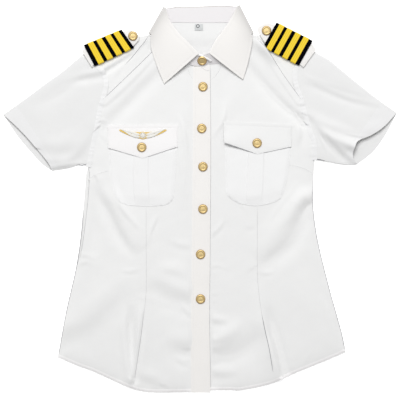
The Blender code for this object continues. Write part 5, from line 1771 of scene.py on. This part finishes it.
class ShirtColours(bpy.types.PropertyGroup):
    """Colours of the cloth, the braid, the badge and the metal."""
    poplin: colour_property("Poplin", "Single white cloth", (0.872, 0.872, 0.868))
    band: colour_property("Double poplin", "White cloth in two layers with its lining",
                          (0.908, 0.889, 0.868))
    # Painted light: a brighter copy of the white poplin, for the light on one flap, the hem's fold
    # and the tab's edge
    flap: colour_property("Flap poplin", "White cloth of the pocket flaps", (0.925, 0.913, 0.913))
    # Painted light: a brighter copy of the white poplin, for the light on the pockets
    pocket: colour_property("Pocket poplin", "White cloth of the pockets over the fronts",
                            (0.905, 0.905, 0.905))
    seam: colour_property("Seam poplin", "White cloth in several layers at seams",
                          (0.868, 0.868, 0.870))
    # Painted shade: a darker copy of the white poplin, for the shade inside the neck
    stand: colour_property("Stand poplin", "White cloth inside the neck", (0.838, 0.818, 0.828))
    # Painted shade: a darker copy of the white poplin, for the sleeves lying in less light than the
    # fronts
    sleeve: colour_property("Sleeve poplin", "White cloth of the sleeves", (0.830, 0.830, 0.828))
    # Lighter than the sleeves where the turned hem shows through, and darker than the fronts'
    # poplin as painted shade, like the sleeves
    cuff: colour_property("Cuff poplin", "White cloth of the sleeves over their turned hem",
                          (0.848, 0.848, 0.850))
    # Painted shade: colour of the dark strips laid where seams, darts, sides and flaps lie in shade
    crevice: colour_property("Seam crevice", "Shaded cloth deep in a seam", (0.36, 0.36, 0.38))
    thread: colour_property("Sewing thread", "White sewing thread", (0.84, 0.84, 0.84))
    felt: colour_property("Felt", "Black felt of the slides", (0.002, 0.0022, 0.004))
    braid: colour_property("Braid", "Gold braid on the slides", (0.96, 0.72, 0.04))
    braid_sewing: colour_property("Braid sewing", "Orange threads in the braid",
                                  (0.50, 0.18, 0.006))
    gold: colour_property("Badge gold", "Gold thread of the badge", (0.90, 0.64, 0.16))
    gold_deep: colour_property("Badge shade", "Darker gold thread of the badge", (0.50, 0.27, 0.05))
    silver: colour_property("Badge white", "White thread of the feathers", (0.88, 0.87, 0.83))
    silver_deep: colour_property("Badge grey", "Grey thread of the feathers", (0.58, 0.56, 0.50))
    brass: colour_property("Brass", "Polished brass of the buttons", (0.80, 0.63, 0.31))
    # Painted shade on the sides of the buttons, and the colour of their dull worn patches
    brass_wear_and_shade: colour_property("Brass shade", "Darker brass on the sides of the buttons",
                                (0.38, 0.19, 0.035))
    label: colour_property("Label", "Grey label cloth", (0.72, 0.74, 0.74))
    mark: colour_property("Label mark", "Dark thread on the label", (0.05, 0.05, 0.06))


class StudioSettings(bpy.types.PropertyGroup):
    """Camera and light."""
    camera_height: length_property("Camera height", "Height of the camera over the floor", 3.5)
    frame_width: length_property("Frame width", "Width of the floor that the picture shows", 0.68)
    key_size: length_property("Key size", "Edge of the square soft light", 2.3)
    key_power: bpy.props.FloatProperty(
        name="Key power", description="Power of the soft light in watts", default=155.0, min=0.0,
        unit="POWER")
    sky: bpy.props.FloatProperty(
        name="Sky", description="Strength of the even light from all sides", default=0.44,
        min=0.0, max=5.0)


# ---------------------------------------------------------------- operators

def shown(piece, node):
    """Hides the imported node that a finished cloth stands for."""
    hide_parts(node)


class SHIRT_OT_finishes(bpy.types.Operator):
    """Make the procedural finishes"""
    bl_idname = "shirt.finishes"
    bl_label = "Finishes"

    def execute(self, context):
        make_finishes()
        return {"FINISHED"}


class SHIRT_OT_back(bpy.types.Operator):
    """Make the back, which lies on the floor, and the yoke over the shoulders"""
    bl_idname = "shirt.back"
    bl_label = "Back and yoke"

    def execute(self, context):
        shown(cloth("back_cloth", back_points()), "back")
        shown(cloth("yoke_cloth", *yoke_grids()), "yoke")
        return {"FINISHED"}


class SHIRT_OT_fronts(bpy.types.Operator):
    """Make both fronts and the placket"""
    bl_idname = "shirt.fronts"
    bl_label = "Fronts"

    def execute(self, context):
        shown(cloth("front_cloth_right", left_front_points()), "front_right")
        shown(cloth("front_cloth_left", right_front_points()), "front_left")
        placket = cloth("placket_cloth", placket_points(), finish="poplin_double", wall=0.7)
        shown(placket, "placket")
        return {"FINISHED"}


class SHIRT_OT_sleeves(bpy.types.Operator):
    """Make both sleeves, open at the cuffs"""
    bl_idname = "shirt.sleeves"
    bl_label = "Sleeves"

    def execute(self, context):
        bands = []
        for name, spec in SLEEVE_SPECS.items():
            rings = sleeve_points(*spec)
            piece = cloth(name.replace("_", "_cloth_"), rings, finish="poplin_sleeve", tube=True)
            shown(piece, name)
            bands.append(cuff_band(rings))
        folds_of_cloth("cuff_bands", bands, wall=0.1, finish="poplin_cuff")
        return {"FINISHED"}


class SHIRT_OT_collar(bpy.types.Operator):
    """Make the collar and its stand"""
    bl_idname = "shirt.collar"
    bl_label = "Collar and stand"

    def execute(self, context):
        rows, crown = collar_rows()
        leaf = topstitched(band_points(rows, 40, crown, LEAF_CURL), first=LEAF_THREAD,
                           last=LEAF_THREAD, start=LEAF_ROLL_THREAD, end=LEAF_THREAD)
        collar = cloth("collar_cloth", upwards_at_ends(leaf), finish="poplin_double", wall=0.8)
        shown(collar, "collar")
        # Painted shade near the collar's side folds
        paint_shade_near_folds(collar)
        band = upwards_at_ends(band_points(stand_rows(), 18))
        shown(cloth("stand_cloth", band, finish="poplin_stand", wall=0.8), "collar_stand")
        line = smooth_path(TAB_LIP, 40)
        rows = [np.column_stack([shifted(line[:, :2], side), line[:, 2] + high])
                for side, high in TAB_SECTION]
        lip = upwards(np.array(rows).transpose(1, 0, 2))
        # The tab's edge takes the brighter copy of the poplin, as painted light
        folds_of_cloth("tab_edge", [lip], finish="poplin_flap")
        return {"FINISHED"}


def paint_shade_near_folds(piece):
    """Marks how near each point of the collar lies to a side fold, as the share of painted shade
    that darkens its colour there.
    """
    x, y, _ = coordinates(piece).T
    near = [np.exp(-edge_distance([smooth_path(line, 20)], x, y) / PAINTED_SHADE_REACH)
            for line in (SIDE_FOLD_L, SIDE_FOLD_R)]
    mark = piece.data.attributes.new("painted_shade_near_folds", "FLOAT", "POINT")
    mark.data.foreach_set("value", np.max(near, axis=0).astype(np.float32))


def upwards_at_ends(points):
    """A folded band whose first rows face up."""
    across = points[0, -1] - points[0, 0]
    along = points[3, 5] - points[0, 5]
    return points if np.cross(across, along)[2] > 0 else points[:, ::-1]


class SHIRT_OT_pockets(bpy.types.Operator):
    """Make the pockets, their flaps and the winged badge"""
    bl_idname = "shirt.pockets"
    bl_label = "Pockets and flaps"

    def execute(self, context):
        for side, pocket, flap in (("right", POCKET_L, FLAP_L), ("left", POCKET_R, FLAP_R)):
            piece = cloth(f"pocket_cloth_{side}", pocket_points(pocket), finish="poplin_pocket")
            shown(piece, f"pocket_{side}")
            points, top_row = flap_points(flap)
            # One flap takes the brighter copy of the poplin as painted light, the other the plain
            # poplin
            piece = cloth(f"flap_cloth_{side}", points, wall=0.8,
                          finish="poplin_flap" if side == "right" else "poplin")
            shown(piece, f"flap_{side}")
            if side == "right":
                make_badge(top_row)
        return {"FINISHED"}


class SHIRT_OT_shoulders(bpy.types.Operator):
    """Make the shoulder straps and the braided slides"""
    bl_idname = "shirt.shoulders"
    bl_label = "Straps and slides"

    def execute(self, context):
        make_straps()
        make_slides()
        return {"FINISHED"}


class SHIRT_OT_buttons(bpy.types.Operator):
    """Make the eleven brass buttons"""
    bl_idname = "shirt.buttons"
    bl_label = "Buttons"

    def execute(self, context):
        make_buttons()
        return {"FINISHED"}


class SHIRT_OT_label(bpy.types.Operator):
    """Make the bare label inside the neck"""
    bl_idname = "shirt.label"
    bl_label = "Neck label"

    def execute(self, context):
        x0, x1, y0, y1 = LABEL
        x, y = np.meshgrid(np.linspace(x0, x1, 29), np.linspace(y0, y1, 22))
        base = COLLAR_LIFT + CLOTH + GAP
        high = base - LABEL_RUMPLE * np.cos((x - x0) * 1.1) * np.cos((y - y0) * 0.9)
        piece = cloth("label_cloth", np.dstack([x, y, high]), finish="label_grey", wall=0.5)
        shown(piece, "neck_label")
        deselect()
        ring_x, ring_y, radius, width, rise = LABEL_RING
        bpy.ops.mesh.primitive_circle_add(vertices=24, radius=radius * MM, fill_type="NGON",
                                          location=(ring_x * MM, ring_y * MM, base * MM))
        mark = bpy.context.object
        edit(mark)
        bpy.ops.mesh.inset(thickness=width * MM)
        bpy.ops.mesh.delete(type="FACE")
        bpy.ops.mesh.select_all(action="SELECT")
        extrude(rise)
        face_out()
        leave_edit()
        apply_transform()
        dress(mark, "label_mark", "label_mark", sharp=30)
        return {"FINISHED"}


class SHIRT_OT_seams(bpy.types.Operator):
    """Make the darts, armhole seams, hems and the rows of stitches"""
    bl_idname = "shirt.seams"
    bl_label = "Seams and stitches"

    def execute(self, context):
        darts = [ridge(path, DART_SECTION, high, fronts) for path, high in DARTS]
        folds_of_cloth("dart_folds", darts)
        # The hem's fold takes the brighter copy of the poplin, as painted light
        hems = [ridge(HEM_L, HEM_BAND, 0.45, left_front, TICKS, 3),
                ridge(HEM_R, HEM_BAND, 0.45, right_front, TICKS, 4)]
        folds_of_cloth("hem_fold", hems, finish="poplin_flap")
        bands = []
        for low, high, body, seed in ((ARMHOLE_LOW_L, ARMHOLE_HIGH_L, left_front, 5),
                                      (ARMHOLE_LOW_R, ARMHOLE_HIGH_R, right_front, 6)):
            bands.append(ridge(low, ARMHOLE_BAND, 0.42, seam_height(body), TICKS, seed))
            bands.append(ridge(high, ARMHOLE_BAND, 0.42, seam_height(yoke_cloth), TICKS, seed + 2))
        folds_of_cloth("armhole_seams", bands, finish="poplin_seam")
        # Strips of painted shade along the seams, darts, sides, flaps and underarms
        folds_of_cloth("seam_painted_shade_strips", painted_shade_strips(), wall=0.05, finish="seam_shade")
        sew("stitches", Made.stitches)
        return {"FINISHED"}


# Studio, in metres
FLOOR_SIZE, FLOOR_LEVEL = 12.0, -0.0004
FLOOR_GLOW = 0.55
KEY_PLACE = (-0.25, 2.8, 3.5)
CAMERA_Y = -0.0017
SEEN_LEVEL = 0.006     # height at which the picture shows the frame's width
SENSOR = 36.0          # width of the camera's sensor in millimetres


class SHIRT_OT_stage(bpy.types.Operator):
    """Make the pale floor, the soft light and the camera over the shirt"""
    bl_idname = "shirt.stage"
    bl_label = "Studio"

    def execute(self, context):
        studio = context.scene.pilot_shirt_studio
        deselect()
        bpy.ops.mesh.primitive_plane_add(size=FLOOR_SIZE, location=(0, 0, FLOOR_LEVEL))
        floor = context.object
        floor.name = "studio_floor"
        pale, _ = plain_finish("pale_floor", Base_Color=(0.9, 0.9, 0.9, 1), Roughness=0.9,
                               Emission_Color=(1, 1, 1, 1), Emission_Strength=FLOOR_GLOW)
        floor.data.materials.append(pale)
        world = bpy.data.worlds.new("studio_sky")
        world.use_nodes = True
        sky = world.node_tree.nodes["Background"].inputs
        sky["Color"].default_value = (1, 1, 1, 1)
        sky["Strength"].default_value = studio.sky
        context.scene.world = world
        bpy.ops.object.light_add(type="AREA", location=KEY_PLACE)
        key = context.object
        key.data.shape, key.data.size = "SQUARE", studio.key_size
        key.data.energy = studio.key_power
        key.rotation_euler = key.location.to_track_quat("Z", "Y").to_euler()
        bpy.ops.object.camera_add(location=(0, CAMERA_Y, studio.camera_height), rotation=(0, 0, 0))
        camera = context.object
        camera.data.sensor_width = SENSOR
        camera.data.lens = SENSOR * (studio.camera_height - SEEN_LEVEL) / studio.frame_width
        camera.data.clip_end = 50.0
        context.scene.camera = camera
        context.scene.view_settings.view_transform = "Standard"
        return {"FINISHED"}


class SHIRT_PT_panel(bpy.types.Panel):
    """Lists the steps that dress the shirt"""
    bl_idname = "SHIRT_PT_panel"
    bl_label = "Pilot Shirt"
    bl_space_type = "VIEW_3D"
    bl_region_type = "UI"
    bl_category = "Pilot Shirt"

    def draw(self, context):
        for settings in ("pilot_shirt_sizes", "pilot_shirt_colours", "pilot_shirt_studio"):
            group = getattr(context.scene, settings)
            box = self.layout.box()
            for name in group.__annotations__:
                box.prop(group, name)
        for step in STEPS:
            self.layout.operator(step.bl_idname)


STEPS = (SHIRT_OT_finishes, SHIRT_OT_back, SHIRT_OT_fronts, SHIRT_OT_sleeves, SHIRT_OT_collar,
         SHIRT_OT_pockets, SHIRT_OT_shoulders, SHIRT_OT_buttons, SHIRT_OT_label, SHIRT_OT_seams,
         SHIRT_OT_stage)
CLASSES = (ShirtSizes, ShirtColours, StudioSettings, *STEPS, SHIRT_PT_panel)


def register():
    for part in CLASSES:
        bpy.utils.register_class(part)
    bpy.types.Scene.pilot_shirt_sizes = bpy.props.PointerProperty(type=ShirtSizes)
    bpy.types.Scene.pilot_shirt_colours = bpy.props.PointerProperty(type=ShirtColours)
    bpy.types.Scene.pilot_shirt_studio = bpy.props.PointerProperty(type=StudioSettings)


def unregister():
    del bpy.types.Scene.pilot_shirt_sizes
    del bpy.types.Scene.pilot_shirt_colours
    del bpy.types.Scene.pilot_shirt_studio
    for part in reversed(CLASSES):
        bpy.utils.unregister_class(part)


def main():
    register()
    for step in STEPS:
        group, name = step.bl_idname.split(".")
        getattr(getattr(bpy.ops, group), name)()


if __name__ == "__main__":
    main()
